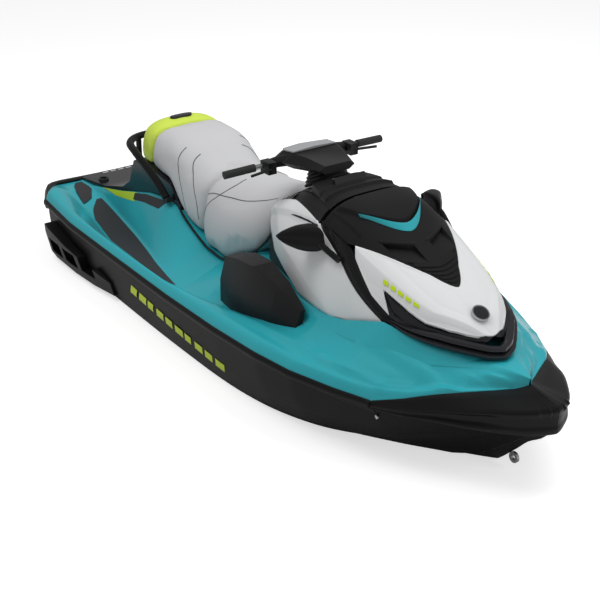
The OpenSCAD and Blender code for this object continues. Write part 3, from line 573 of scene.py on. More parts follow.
@dataclass
class Workshop:
    """Makes pieces: turns surfaces into objects, dresses them and rides them on their bodies."""

    frame: dict
    datum: Datum
    groups: ShaderGroups = field(default_factory=ShaderGroups)

    def piece(
        self,
        name: str,
        surface: Surface,
        finish: Finish,
        body: str = "hull_body",
        replaces: Sequence[str] = (),
        outward: tuple[float, float, float] | None = None,
        wall: float = 0.0,
        bevel: float = 0.0,
        smooth: int = 0,
        sharp: float = 40.0,
    ) -> bpy.types.Object:
        """Makes one finished piece.

        Args:
            name: name of the piece.
            surface: its shape in station coordinates.
            finish: its finish.
            body: body that carries it.
            replaces: nodes that it stands for.
            outward: side that an open sheet faces; a closed shape is left None and turned by itself.
            wall: thickness given to a sheet, inwards.
            bevel: width of the rounded edges.
            smooth: levels of subdivision.
            sharp: angle in degrees above which an edge stays crisp.

        Returns:
            The object.
        """
        mesh = bpy.data.meshes.new(name)
        mesh.from_pydata(self.datum.place(surface.points).tolist(), [], surface.faces)
        with editing(mesh) as work:
            bmesh.ops.remove_doubles(work, verts=work.verts, dist=2e-5)
            if outward is None:
                bmesh.ops.recalc_face_normals(work, faces=work.faces)
            elif sum(face.calc_area() * face.normal.dot(Vector(outward)) for face in work.faces) < 0:
                bmesh.ops.reverse_faces(work, faces=work.faces)
        made = in_scene(name, mesh)
        self._finish_shape(made, wall, bevel, smooth, sharp)
        self._dress(made, finish, body, replaces)
        return made

    def refined(self, node: str, finish: Finish, bevel: float = 1.5, sharp: float = 28.0) -> bpy.types.Object:
        """Stands a cleaned copy with rounded edges in for a node.

        Args:
            node: the node to copy.
            finish: its finish.
            bevel: width of the rounded edges in millimetres.
            sharp: angle in degrees above which an edge is rounded.

        Returns:
            The object.
        """
        source = self.frame["nodes"][node]
        mesh = source.data.copy()
        mesh.name = node + "_finished"
        mesh.materials.clear()
        with editing(mesh) as work:
            bmesh.ops.remove_doubles(work, verts=work.verts, dist=1e-5)
            bmesh.ops.dissolve_limit(
                work, angle_limit=math.radians(0.8), verts=work.verts, edges=work.edges)
            bmesh.ops.recalc_face_normals(work, faces=work.faces)
        made = in_scene(node + "_finished", mesh)
        self._finish_shape(made, 0.0, bevel, 0, sharp)
        self._dress(made, finish, source["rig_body"], [node])
        return made

    def repaint(self, node: str, finish: Finish) -> None:
        """Gives a node that stays its finish."""
        target = self.frame["nodes"][node]
        target.data.materials.clear()
        target.data.materials.append(finish.material(self.groups))
        LOG.info("%s keeps its shape, finish %s", node, finish.name)

    @staticmethod
    def _finish_shape(made: bpy.types.Object, wall: float, bevel: float, smooth: int, sharp: float) -> None:
        """Adds wall, rounded edges, subdivision and even shading."""
        made.data.shade_smooth()
        if wall:
            thick = made.modifiers.new("wall", "SOLIDIFY")
            thick.thickness = wall / 1000
            thick.offset = -1.0
            thick.use_even_offset = False
        if bevel:
            edge = made.modifiers.new("edges", "BEVEL")
            edge.width = bevel / 1000
            edge.segments = 2
            edge.limit_method = "ANGLE"
            edge.angle_limit = math.radians(sharp)
            edge.harden_normals = False
            edge.use_clamp_overlap = True
        if smooth:
            fine = made.modifiers.new("smooth", "SUBSURF")
            fine.levels = smooth
            fine.render_levels = smooth
        if not bevel:
            made.data.set_sharp_from_angle(angle=math.radians(sharp))
        shade = made.modifiers.new("shade", "WEIGHTED_NORMAL")
        shade.keep_sharp = True
        shade.weight = 80

    def _dress(self, made: bpy.types.Object, finish: Finish, body: str, replaces: Sequence[str]) -> None:
        """Paints a piece, rides it on its body and hides the nodes that it stands for."""
        made.data.materials.append(finish.material(self.groups))
        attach(made, body)
        if replaces:
            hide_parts(*replaces)
        LOG.info("%s: %d faces on %s, finish %s", made.name, len(made.data.polygons), body, finish.name)


# ---------- lines of the craft ----------


@dataclass(frozen=True)
class CraftLines:
    """Section tables of the whole craft that several pieces share."""

    # x, half width and height of the deck's edge
    rail: Rows = (
        (0, 430, 485), (140, 522, 486), (500, 566, 486), (1000, 584, 486), (1500, 602, 489), (1900, 609, 496),
        (2200, 600, 501), (2400, 568, 495), (2600, 500, 485), (2760, 436, 480), (2860, 368, 510),
        (2930, 312, 537), (3000, 238, 556), (3050, 154, 558), (3110, 56, 561), (3156, 8, 584))
    # x, keel height, half width and height of the chine
    bottom: Rows = (
        (160, 20, 470, 190), (800, 4, 500, 182), (1500, 0, 524, 180), (2000, 6, 520, 188),
        (2400, 34, 452, 214), (2700, 84, 340, 262), (2900, 142, 224, 318), (3000, 190, 150, 350),
        (3110, 292, 72, 400), (3168, 352, 40, 420), (3234, 398, 20, 434), (3272, 436, 6, 443))
    # x, half width and height of the hull's upper edge under the bow
    chin: Rows = ((3052, 152, 446), (3110, 100, 446), (3168, 62, 446), (3234, 30, 446), (3272, 8, 446))
    # x, half width at the foot and height of the crown of the upper body, and the height of its foot
    upper: Rows = (
        (1700, 225, 905), (1850, 262, 985), (2000, 295, 1030), (2150, 316, 1050), (2300, 320, 1030),
        (2430, 308, 972), (2580, 285, 905), (2730, 245, 835), (2865, 165, 768), (2945, 80, 712),
        (2985, 24, 690))
    base: float = 640.4

    def rail_y(self, x: Array) -> Array:
        """Half width of the deck's edge."""
        return straight(self.rail, x, 1)

    def rail_z(self, x: Array) -> Array:
        """Height of the deck's edge."""
        return straight(self.rail, x, 2)

    def skin(self, x: Array, q: Array, lift: Array | float = 0.0) -> Array:
        """Points on the upper body.

        A section is half an oval of power form: with a = 90 degrees times one less |q|, the width is
        w cos(a)^0.6 and the height above the deck is h sin(a)^0.8.

        Args:
            x: stations.
            q: place across, 1 at the port foot, 0 on the crown and -1 at the starboard foot.
            lift: distance outside the body.

        Returns:
            The points.
        """
        a = np.radians(90 * (1 - np.abs(q)))
        w = fair(self.upper, x, 1) + lift
        h = np.maximum(fair(self.upper, x, 2) - self.base + lift, 4)
        y = np.sign(q) * w * np.power(np.maximum(np.cos(a), 0), 0.6)
        return points_of(x, y, self.base + h * np.power(np.sin(a), 0.8))

    def hull_lines(self, x: Array) -> Array:
        """Port half of the hull's section: keel, strake, chine, side and joint, as lines x stations x 3."""
        k = fair(self.bottom, x, 1)
        cy = fair(self.bottom, x, 2)
        cz = fair(self.bottom, x, 3)
        ry = np.where(x > 3040, straight(self.chin, x, 1), self.rail_y(x) - 2)
        rz = np.where(x > 3040, straight(self.chin, x, 2) - 24, self.rail_z(x) - 26)
        return np.stack([
            points_of(x, cy * 0, k),
            points_of(x, cy * 0.42, k + (cz - k) * 0.36),
            points_of(x, cy * 0.50, k + (cz - k) * 0.37),
            points_of(x, cy * 0.94, cz - 7),
            points_of(x, cy, cz),
            points_of(x, cy + (ry - cy) * 0.40, cz + (rz - cz) * 0.20),
            points_of(x, cy + (ry - cy) * 0.85, cz + (rz - cz) * 0.62),
            points_of(x, ry, rz + 24)])

    def hull_cover(self, x: Array) -> Array:
        """Lines that close the hull over the top, low enough to stay under the footwells."""
        side = self.hull_lines(x)[-1]
        level = np.interp(x, [160, 2600, 2900, 3272], [396, 396, 440, 440])
        return np.stack([
            side + [0, -6, 0], points_of(x, side[:, 1] * 0.97 - 6, np.minimum(level, side[:, 2] - 2)),
            points_of(x, 0 * x, np.minimum(level, side[:, 2] - 2))])

    def side_at(self, x: Array, z: Array, lift: float = 0.0) -> Array:
        """Points on the port hull side at given stations and heights, lifted outwards."""
        x, z = np.broadcast_arrays(x, z)
        lines = self.hull_lines(x.ravel())[4:8]
        z = z.ravel()
        y = lines[0][:, 1]
        for low, high in zip(lines[:-1], lines[1:]):
            t = np.clip((z - low[:, 2]) / (high[:, 2] - low[:, 2]), 0, 1)
            y = y + t * (high[:, 1] - low[:, 1])
        return points_of(x.ravel(), y + lift, z).reshape(*x.shape, 3)


LINES = CraftLines()


# ---------- hull ----------


@dataclass
class Hull:
    """Moulded hull with its rail, bumpers and sponsons."""

    shop: Workshop
    tunnel_half: float = 112.0
    tunnel_axis: float = 140.0
    rail_height: float = 34.0
    rail_out: float = 16.0
    # Number, outer x, outer half width, inner x, lower height, crease height, inner height
    nose_rows: Rows = (
        (0, 2758, 448, 2760, 446, 470, 484), (1, 2880, 386, 2860, 448, 486, 517),
        (2, 2980, 320, 2930, 450, 504, 544), (3, 3080, 262, 3000, 452, 524, 562),
        (4, 3170, 192, 3050, 452, 540, 566), (5, 3256, 114, 3110, 452, 552, 572),
        (6, 3296, 54, 3140, 452, 558, 584), (7, 3312, 22, 3154, 452, 560, 592),
        (8, 3318, 0, 3157, 452, 561, 594))
    # Number along the bumper and depth of the sunken wedge
    wedge: Rows = ((0, 0), (0.6, 2), (2.4, 14), (3.6, 16), (4.4, 3), (8, 2))

    def build(self) -> None:
        """Makes every piece of the hull."""
        self.shell()
        self.rail()
        self.nose()
        self.side_marks()
        self.stern()
        self.shop.refined("sponsons", TRIM_BLACK, 4.0)
        self.shop.repaint("engine_block", IRON)

    def shell(self) -> None:
        """The hull: rounded sections from the transom to the stem, with the pump tunnel and the bin cut."""
        x = np.unique(np.concatenate([np.linspace(160, 3272, 150), [3000, 3039.9, 3040, 3110, 3168, 3234]]))
        half = rounded(np.concatenate([LINES.hull_lines(x), LINES.hull_cover(x)]),
                       [4, 3, 10, 8, 60, 60, 2, 2, 2])
        ring = np.concatenate([half, half[:, ::-1] * [1, -1, 1]], axis=1)
        made = self.shop.piece("hull_shell", Surface.grid(ring, wrap=True, capped=True), HULL_BLACK,
                               replaces=["hull"], sharp=35)
        for name, cutter in (("tunnel", self.tunnel()),
                             ("bin", Surface.block((2330, -150, 330), (2760, 150, 900)))):
            self.cut(made, name, cutter)

    def tunnel(self) -> Surface:
        """Arch over the pump: straight walls under a half circle, carried along the shaft."""
        angle = np.linspace(0, np.pi, 25)
        arch_y = np.concatenate([[self.tunnel_half], self.tunnel_half * np.cos(angle), [-self.tunnel_half]])
        arch_z = np.concatenate([[-60], self.tunnel_axis + self.tunnel_half * np.sin(angle), [-60]])
        x = np.array([[100.0], [740.0]])
        return Surface.grid(points_of(x, arch_y, arch_z), wrap=True, capped=True)

    def cut(self, made: bpy.types.Object, name: str, cutter: Surface) -> None:
        """Takes a solid out of a piece for good."""
        mesh = bpy.data.meshes.new(name)
        mesh.from_pydata(self.shop.datum.place(cutter.points).tolist(), [], cutter.faces)
        with editing(mesh) as work:
            bmesh.ops.recalc_face_normals(work, faces=work.faces)
        tool = in_scene(name, mesh)
        cutting = made.modifiers.new(name, "BOOLEAN")
        cutting.operation = "DIFFERENCE"
        cutting.solver = "EXACT"
        cutting.object = tool
        made.modifiers.move(len(made.modifiers) - 1, 0)
        with bpy.context.temp_override(object=made, active_object=made):
            bpy.ops.object.modifier_apply(modifier=name)
        bpy.data.objects.remove(tool)

    def rail(self) -> None:
        """Rubbing rail: a rounded strip carried along the deck's edge on both sides."""
        x = np.linspace(126, 2756, 120)
        y = LINES.rail_y(x) + 0.4
        z = LINES.rail_z(x)
        strip = np.stack([
            points_of(x, y, z + 4), points_of(x, y + self.rail_out * 0.6, z + 2),
            points_of(x, y + self.rail_out, z - 8),
            points_of(x, y + self.rail_out, z - self.rail_height + 14),
            points_of(x, y + self.rail_out * 0.5, z - self.rail_height + 7),
            points_of(x, y, z - self.rail_height + 8)])
        grid = rounded(strip, [4, 5, 5, 4])
        self.shop.piece("rubbing_rail_strip", Surface.grid(grid, wrap=True, capped=True).both_sides(),
                        TRIM_BLACK, replaces=["rubbing_rail"], sharp=50)

    def stern(self) -> None:
        """Stern bumper: a thick faceted moulding that wraps the rear edge and both corners."""
        corner = [(128, 526), (60, 492), (2, 462), (-34, 438), (-54, 404), (-60, 352), (-52, 240), (-46, 120),
                  (-44, 0)]
        half = np.array([(x, y, 0.0) for x, y in corner])
        plan = np.concatenate([half, half[-2::-1] * [1, -1, 1]])
        section = np.array([(14, 430), (4, 436), (0, 452), (0, 478),
                            (12, 500), (34, 506), (60, 503), (60, 450)], float)
        shape = section * [-1, 1]
        self.shop.piece("stern_bumper_moulding", Surface.sweep(plan, shape[::-1]), TRIM_BLACK,
                        replaces=["stern_bumpers"], bevel=4, sharp=12)

    def nose(self) -> None:
        """Bow bumper: a folded moulding carried round the bow, with a sunken wedge and two ribs a side."""
        t = np.unique(np.concatenate([np.linspace(0, 8, 150), [7.6, 7.7, 7.8, 7.9]]))
        outer_x, outer_y, inner_x, low, crease, top = (fair(self.nose_rows, t, c) for c in range(1, 7))
        inner_y = np.where(inner_x > 3155.5, 0, LINES.rail_y(inner_x) + 1)
        run = np.stack([np.gradient(outer_x), np.gradient(outer_y)], axis=-1)
        run /= np.linalg.norm(run, axis=1, keepdims=True)
        out_x, out_y = -run[:, 1], run[:, 0]
        rib = 9 * (np.exp(-((t - 5.6) / 0.12) ** 2) + np.exp(-((t - 6.5) / 0.12) ** 2))
        sunk = straight(self.wedge, t)
        face = crease - low

        def fold(shift: Array | float, z: Array) -> Array:
            """Points a distance outside the outer line, at a height."""
            return points_of(outer_x + out_x * shift, np.maximum(outer_y + out_y * shift, 0), z)

        lines = np.stack([
            points_of(inner_x, inner_y, top), fold(-10 + rib * 0.5, crease + 6), fold(rib, crease - 6),
            fold(-3 - sunk, crease - face * 0.26), fold(-5 - sunk, crease - face * 0.62),
            fold(-2, low + face * 0.2),
            fold(-8, low), fold(-60, low + 8)])
        grid = rounded(lines, [10, 8, 5, 5, 8, 8], arc=4, flat=2)
        self.shop.piece("bow_bumper_moulding", Surface.grid(grid).both_sides(), TRIM_BLACK,
                        replaces=["bow_bumper"], outward=(1, 0, 0.2), wall=5, sharp=60)
        x = np.linspace(2440, 2764, 50)[:, None]
        s = np.linspace(0, 1, 5)[None, :]
        low_edge = np.interp(x, [2440, 2764], [462, 430])
        high_edge = LINES.rail_z(x) - 22
        strip = Surface.grid(LINES.side_at(x, low_edge + (high_edge - low_edge) * s, 5.0))
        self.shop.piece("cheek_port", strip, TRIM_BLACK, outward=(0, 1, 0), wall=6)
        self.shop.piece("cheek_starboard", strip.mirrored(), TRIM_BLACK, outward=(0, -1, 0), wall=6)

    def side_marks(self) -> None:
        """Row of slanted lime bars low on each side, thin sheets laid on the hull side, and a drain plug."""
        start, pitch, lengths, slant, height = 1116, 82, (58, 66, 50, 62), 18, 46
        along = np.linspace(0, 1, 7)[:, None]
        rise = np.linspace(0, 1, 5)[None, :]
        made = []
        for i in range(10):
            x = start + i * pitch + lengths[i % 4] * along + slant * rise
            z = 372 - (x - start) * 0.088 + height * (rise - 0.5)
            made.append(Surface.grid(LINES.side_at(x, z, 1.4)))
        bars = joined(made)
        self.shop.piece("side_bars_port", bars, LIME_MARK, outward=(0, 1, 0), wall=0.8)
        self.shop.piece("side_bars_starboard", bars.mirrored(), LIME_MARK, outward=(0, -1, 0), wall=0.8)
        at = LINES.side_at(np.array(2771.0), np.array(412.0), 4.0)
        plug = Surface.turned(((0.5, 0), (9, 0), (9, 5), (6, 7), (0.5, 7)), at, (0, 1, 0), 24)
        self.shop.piece("side_plugs", plug.both_sides(), STEEL)


# ---------- deck ----------


@dataclass
class Deck:
    """Deck moulding with footwells and pedestal, and what lies on it."""

    shop: Workshop
    # x, gunwale height over the rail, height and half width of the floor's outer edge, half width and height
    # of its inner edge, pedestal half width and height
    sections: Rows = (
        (0, 6, 492, 360, 254, 492, 250, 496), (120, 40, 494, 372, 254, 494, 250, 498),
        (240, 34, 470, 378, 250, 470, 234, 520), (420, 32, 434, 392, 256, 434, 232, 560),
        (700, 30, 430, 452, 312, 430, 236, 636), (900, 30, 430, 464, 360, 430, 236, 664),
        (1060, 30, 430, 472, 400, 430, 236, 600), (1230, 30, 430, 478, 444, 430, 238, 530),
        (1400, 32, 436, 484, 474, 436, 240, 524), (1620, 38, 470, 490, 460, 486, 240, 632),
        (1800, 46, 500, 480, 400, 520, 290, 640), (2050, 46, 545, 450, 360, 545, 330, 640),
        (2300, 46, 570, 450, 372, 600, 335, 640), (2600, 42, 571, 420, 352, 617, 318, 640),
        (2760, 40, 563, 365, 300, 609, 256, 640), (2860, 24, 575, 300, 240, 616, 204, 640),
        (3000, 10, 602, 150, 100, 622, 62, 638), (3050, 8, 600, 100, 70, 618, 46, 634),
        (3110, 6, 590, 44, 34, 609, 24, 628), (3156, 3, 600, 7, 5, 610, 4, 620))
    # x and half width of the mats' outer and inner edges
    long_mat: Rows = ((252, 290, 262), (330, 352, 262), (420, 388, 266), (700, 450, 318), (900, 462, 362),
                      (1060, 470, 404), (1330, 477, 458), (1372, 480, 472))
    small_mat: Rows = ((36, 300, 264), (70, 324, 264), (150, 352, 264), (230, 366, 306), (262, 372, 360))
    # x and height of the line where the foredeck meets the panels and the hood
    foot: Rows = ((2320, 640), (2420, 655), (2520, 688), (2620, 716), (2660, 712), (2730, 694), (2800, 678),
                  (2865, 668), (2945, 650), (3002, 636))

    def build(self) -> None:
        """Makes every piece of the deck."""
        self.moulding()
        self.fairing()
        self.mats()
        self.marks()
        self.shop.refined("rear_platform", GLOSS_BLACK, 6.0, 20.0)
        self.shop.refined("footwell_shields", SOFT_BLACK, 7.0, 18.0)
        self.shop.repaint("accessory_sockets", TRIM_BLACK)

    def lines(self, x: Array) -> Array:
        """Port half of the deck's section, from the joint to the centreline, as lines x stations x 3."""
        b = LINES.rail_y(x)
        z = LINES.rail_z(x) + 4
        columns = (straight(self.sections, x, c) for c in range(1, 8))
        rise, outer_z, outer, inner, inner_z, top, height = columns
        open_in = np.interp(x, [1716, 1740, 2760, 2800], [0, 150, 150, 0])
        inner_top = outer + (b - outer) * np.interp(x, [240, 420, 1400, 1800], [0.5, 0.72, 0.72, 0.5])
        return np.stack([
            points_of(x, b, z - 26), points_of(x, b, z), points_of(x, b * 0.965, z + rise),
            points_of(x, inner_top, z + rise), points_of(x, outer, outer_z), points_of(x, inner, inner_z),
            points_of(x, top, height), points_of(x, np.maximum(top * 0.5, open_in), height),
            points_of(x, open_in, height)])

    def fairing(self) -> None:
        """Sloping foredeck: a facet a side that rises from the deck to the foot of panels and hood."""
        x = np.unique(np.concatenate([np.linspace(2320, 3002, 90), np.asarray(self.foot)[:, 0]]))
        foot = self.lines(x)[5] + [0, 0, 1.5]
        height = straight(self.foot, x)
        full = np.maximum(fair(LINES.upper, np.minimum(x, 2985), 2) - LINES.base, 4)
        share = np.clip((height - LINES.base) / full, 0, 1)
        q = 1 - np.arcsin(share**1.25) / (np.pi / 2)
        top = LINES.skin(np.minimum(x, 2985), q, 5.0)
        top[:, 0] = x
        top[:, 1] *= np.interp(x, [2950, 3002], [1, 0.2])
        top[:, 2] = height
        s = np.linspace(0, 1, 8)[:, None, None]
        sheet = Surface.grid((foot + (top - foot) * s).transpose(1, 0, 2))
        self.shop.piece("foredeck_fairing", sheet.both_sides(), GELCOAT, outward=(0, 0, 1), wall=4)

    def flank(self, x: Array, share: Array, lift: float = 0.0) -> Array:
        """Points on the pedestal's port flank; share runs from 0 at the floor to 1 at the top."""
        x, share = np.broadcast_arrays(x, share)
        lines = self.lines(x.ravel())
        low, high = lines[5], lines[6]
        point = low + (high - low) * share.ravel()[:, None]
        run = high - low
        out = np.stack([0 * run[:, 2], run[:, 2], -run[:, 1]], axis=-1)
        out /= np.linalg.norm(out, axis=1, keepdims=True)
        return (point + out * lift).reshape(*x.shape, 3)

    def moulding(self) -> None:
        """The deck as two mirrored sheets with rounded folds, joined on the centreline."""
        x = np.unique(np.concatenate([np.linspace(0, 3156, 220), np.asarray(self.sections)[:, 0]]))
        grid = rounded(self.lines(x), [5, 26, 26, 30, 26, 30, 20], arc=5, flat=4)
        creases = (((3022, 112), (3095, 60), 15, 10), ((2960, 170), (3030, 140), 15, 8),
                   ((2560, 330), (2985, 245), 34, 15), ((1500, 540), (2480, 470), 40, 8),
                   ((2480, 470), (2760, 398), 26, 9), ((2760, 398), (2955, 268), 26, 9))
        for start, end, width, height in creases:
            grid[..., 2] += height * ridge(grid, start, end, width)
        half = Surface.grid(grid)
        self.shop.piece("deck_moulding", half.both_sides(), GELCOAT, replaces=["deck"], outward=(0, 0, 1),
                        wall=5, sharp=60)

    def mats(self) -> None:
        """Footwell mats: thick pads that follow the floor, with rounded edges."""
        made = []
        for rows in (self.long_mat, self.small_mat):
            x = np.linspace(rows[0][0], rows[-1][0], 50)[:, None]
            across = np.linspace(0, 1, 8)[None, :]
            y = straight(rows, x, 1) * (1 - across) + straight(rows, x, 2) * across
            made.append(Surface.grid(points_of(x, y, straight(self.sections, x, 2) + 6.0)))
        self.shop.piece("footwell_mat_pads", joined(made).both_sides(), MAT_DARK, replaces=["footwell_mats"],
                        outward=(0, 0, 1), wall=5.4, bevel=2.0)

    def marks(self) -> None:
        """Lime stripe and dark pad along the top of each flank, and pale dashes across the rear edge."""
        s = np.linspace(0, 1, 30)[:, None]
        t = np.linspace(0, 1, 5)[None, :]
        stripe = Surface.grid(self.flank(215 + 375 * s, 0.99 - 0.26 * t * np.minimum(1, 2.5 * s), 1.2))
        pad = Surface.grid(self.flank(575 + 330 * s, 0.97 - 0.19 * t * np.minimum(1, 6 * (1 - s)), 3.0))
        self.shop.piece("flank_stripes", stripe.both_sides(), LIME_MARK, outward=(0, 0, 1), wall=0.8)
        self.shop.piece("flank_pads", pad.both_sides(), MAT_DARK, outward=(0, 0, 1), wall=3, bevel=1)
        pitch = 46
        dashes = joined(
            Surface.block((16, -128 + pitch * i, 513.2), (40, -96 + pitch * i, 514.6)) for i in range(5))
        self.shop.piece("rear_dashes", dashes, PALE_MARK)


# ---------- seats ----------


@dataclass
class Seats:
    """Rider seat, passenger seat and rear cap as upholstered cushions with sewn seams."""

    shop: Workshop
    # x, half width at the base, half width at the top, base height, top height
    rider: Rows = (
        (1170, 215, 150, 560, 850), (1230, 240, 165, 531, 869), (1300, 248, 165, 528, 879),
        (1400, 248, 152, 525, 885), (1500, 236, 138, 575, 897), (1620, 212, 124, 633, 917),
        (1670, 188, 118, 690, 919), (1700, 172, 108, 742, 909))
    passenger: Rows = (
        (716, 224, 176, 775, 971), (800, 232, 178, 759, 965), (900, 236, 176, 743, 955),
        (984, 238, 172, 656, 931), (1060, 238, 166, 602, 891), (1166, 226, 152, 562, 853))
    cap: Rows = (
        (552, 160, 110, 763, 905), (580, 190, 142, 766, 953), (630, 212, 166, 770, 973),
        (700, 222, 174, 775, 974), (712, 222, 174, 775, 973))
    end_round: float = 26.0
    # sewn seams of each cushion as x and height, seen from the side
    seam_paths: dict[str, tuple[Rows, ...]] = field(default_factory=lambda: {
        "passenger_cushion": (((1148, 640), (1130, 720), (1085, 800), (1035, 868), (1020, 905)),
                              ((1060, 640), (1030, 720), (990, 800), (960, 870), (950, 925))),
        "rider_cushion": (((1186, 770), (1260, 800), (1360, 812), (1480, 828), (1600, 862), (1665, 886)),
                          ((1186, 640), (1240, 742), (1300, 800), (1350, 852), (1362, 876)))})

    def build(self) -> None:
        """Makes the three cushions and their seams."""
        cushions = (("rider_cushion", self.rider, SEAT_GREY, "seat_front", 10.0),
                    ("passenger_cushion", self.passenger, SEAT_GREY, "seat_rear", 8.0),
                    ("rear_cap_cushion", self.cap, SEAT_LIME, "seat_cap", 6.0))
        for name, rows, finish, node, swell in cushions:
            made = self.shop.piece(name, self.cushion(rows), finish, replaces=[node])
            self.inflate(made, swell)
            self.seams(made, self.seam_paths.get(name, ()))
        self.piping()
        self.label()

    def cushion(self, rows: Rows, inset: float = 5.0) -> Surface:
        """Closed cushion: rounded sections along x that close in towards both ends.

        A section has a tucked-in foot, a side that bows out, a soft shoulder and a crowned top. Near an end
        it shrinks about its middle by 1 - sqrt(1 - u^2), where u runs from 0 to 1 over the rounding.
        """
        table = np.asarray(rows, float)
        x = np.linspace(table[0, 0], table[-1, 0], 56)
        base, top, low, high = (fair(rows, x, c) for c in range(1, 5))
        base, top, low, high = base - inset, top - inset, low + inset, high - inset
        h = high - low
        half = np.stack([
            points_of(x, 0, low), points_of(x, base * 0.94, low), points_of(x, base, low + h * 0.18),
            points_of(x, base * 0.97, low + h * 0.5), points_of(x, (base + top) / 2 * 0.98, low + h * 0.82),
            points_of(x, top * 0.72, high - h * 0.02), points_of(x, 0, high + h * 0.01)])
        grid = rounded(half, [22, 30, 60, 60, 60], arc=5, flat=2)
        ring = np.concatenate([grid, grid[:, ::-1][:, 1:-1] * [1, -1, 1]], axis=1)
        near = np.minimum(x - x[0], x[-1] - x) / self.end_round
        u = np.clip(1 - near, 0, 1)
        shrink = 1 - 0.16 * (1 - np.sqrt(np.maximum(1 - u**2, 0)))
        middle = points_of(x, 0, (low + high) / 2)[:, None]
        return Surface.grid(middle + (ring - middle) * shrink[:, None, None], wrap=True, capped=True)

    def inflate(self, made: bpy.types.Object, cap: float) -> None:
        """Pads a cushion by cloth pressure, with every point held within a cap of where it began.

        Args:
            made: the cushion.
            cap: the furthest a point may move, in millimetres.
        """
        scene = bpy.context.scene
        bpy.context.view_layer.objects.active = made
        made.modifiers.clear()
        remesh = made.modifiers.new("even", "REMESH")
        remesh.mode = "VOXEL"
        remesh.voxel_size = 0.009
        with bpy.context.temp_override(object=made, active_object=made):
            bpy.ops.object.modifier_apply(modifier="even")
        start = np.empty(len(made.data.vertices) * 3)
        made.data.vertices.foreach_get("co", start)
        cloth = made.modifiers.new("padding", "CLOTH")
        cloth.settings.use_pressure = True
        cloth.settings.uniform_pressure_force = 4.0
        cloth.settings.effector_weights.gravity = 0.0
        cloth.settings.quality = 4
        for number in range(1, 17):
            scene.frame_set(number)
        with bpy.context.temp_override(object=made, active_object=made):
            bpy.ops.object.modifier_apply(modifier="padding")
        scene.frame_set(1)
        moved = np.empty_like(start)
        made.data.vertices.foreach_get("co", moved)
        shift = (moved - start).reshape(-1, 3)
        length = np.maximum(np.linalg.norm(shift, axis=1, keepdims=True), 1e-9)
        limit = cap / 1000
        held = start.reshape(-1, 3) + shift / length * limit * np.tanh(length / limit)
        made.data.vertices.foreach_set("co", held.ravel())
        made.data.shade_smooth()
        fine = made.modifiers.new("soft", "SMOOTH")
        fine.iterations = 4
        round_off = made.modifiers.new("smooth", "SUBSURF")
        round_off.levels = 1
        round_off.render_levels = 1

    def seams(self, made: bpy.types.Object, paths: tuple[Rows, ...]) -> None:
        """Lays sewn seams on a padded cushion: each path is drawn from the side and pressed onto the surface.

        Args:
            made: the cushion, already padded.
            paths: for each seam, (x, z) pairs as seen from the side.
        """
        bpy.context.view_layer.update()
        seen = made.evaluated_get(bpy.context.evaluated_depsgraph_get())
        pressed_in, radius = 0.8, 2.4
        threads = []
        for path in paths:
            row = smooth_path(np.array([(x, 0, z) for x, z in path], float), 60)
            hits = []
            for point in self.shop.datum.place(row):
                found, place, *_ = seen.ray_cast(Vector((point[0], 1.0, point[2])), Vector((0, -1, 0)))
                if found:
                    hits.append(place)
            if len(hits) < 8:
                continue
            pressed = self.shop.datum.measure(np.array(hits)) - [0, pressed_in, 0]
            threads.append(Surface.tube(pressed, radius, 8))
        if threads:
            self.shop.piece(f"{made.name}_seams", joined(threads).both_sides(), SEAM)

    def label(self) -> None:
        """Plain dark oval on the rear cap, behind the passenger."""
        angle = np.linspace(0, 2 * np.pi, 48, endpoint=False)[None, :]
        size = np.array([1.0, 0.97, 0.05])[:, None]
        y = 62 * np.sign(np.cos(angle)) * np.abs(np.cos(angle)) ** 0.6 * size
        x = 652 + 17 * np.sin(angle) * size
        z = 974 + np.array([-8.0, 7.0, 7.5])[:, None] + 0 * y
        self.shop.piece("cap_label", Surface.grid(points_of(x, y, z), wrap=True, capped=True), GLOSS_BLACK)

    def piping(self) -> None:
        """Black piping round the foot of the rider seat, carried along the section's lower corner."""
        x = np.linspace(1000, 1695, 90)
        table = np.concatenate([np.asarray(self.passenger)[3:5], np.asarray(self.rider)[1:]])
        y = fair(table, x, 1) * 0.975
        z = fair(table, x, 3) + 12
        self.shop.piece("seat_piping", Surface.tube(points_of(x, y, z), 6.0, 10).both_sides(), PIPING)


# ---------- upper body ----------


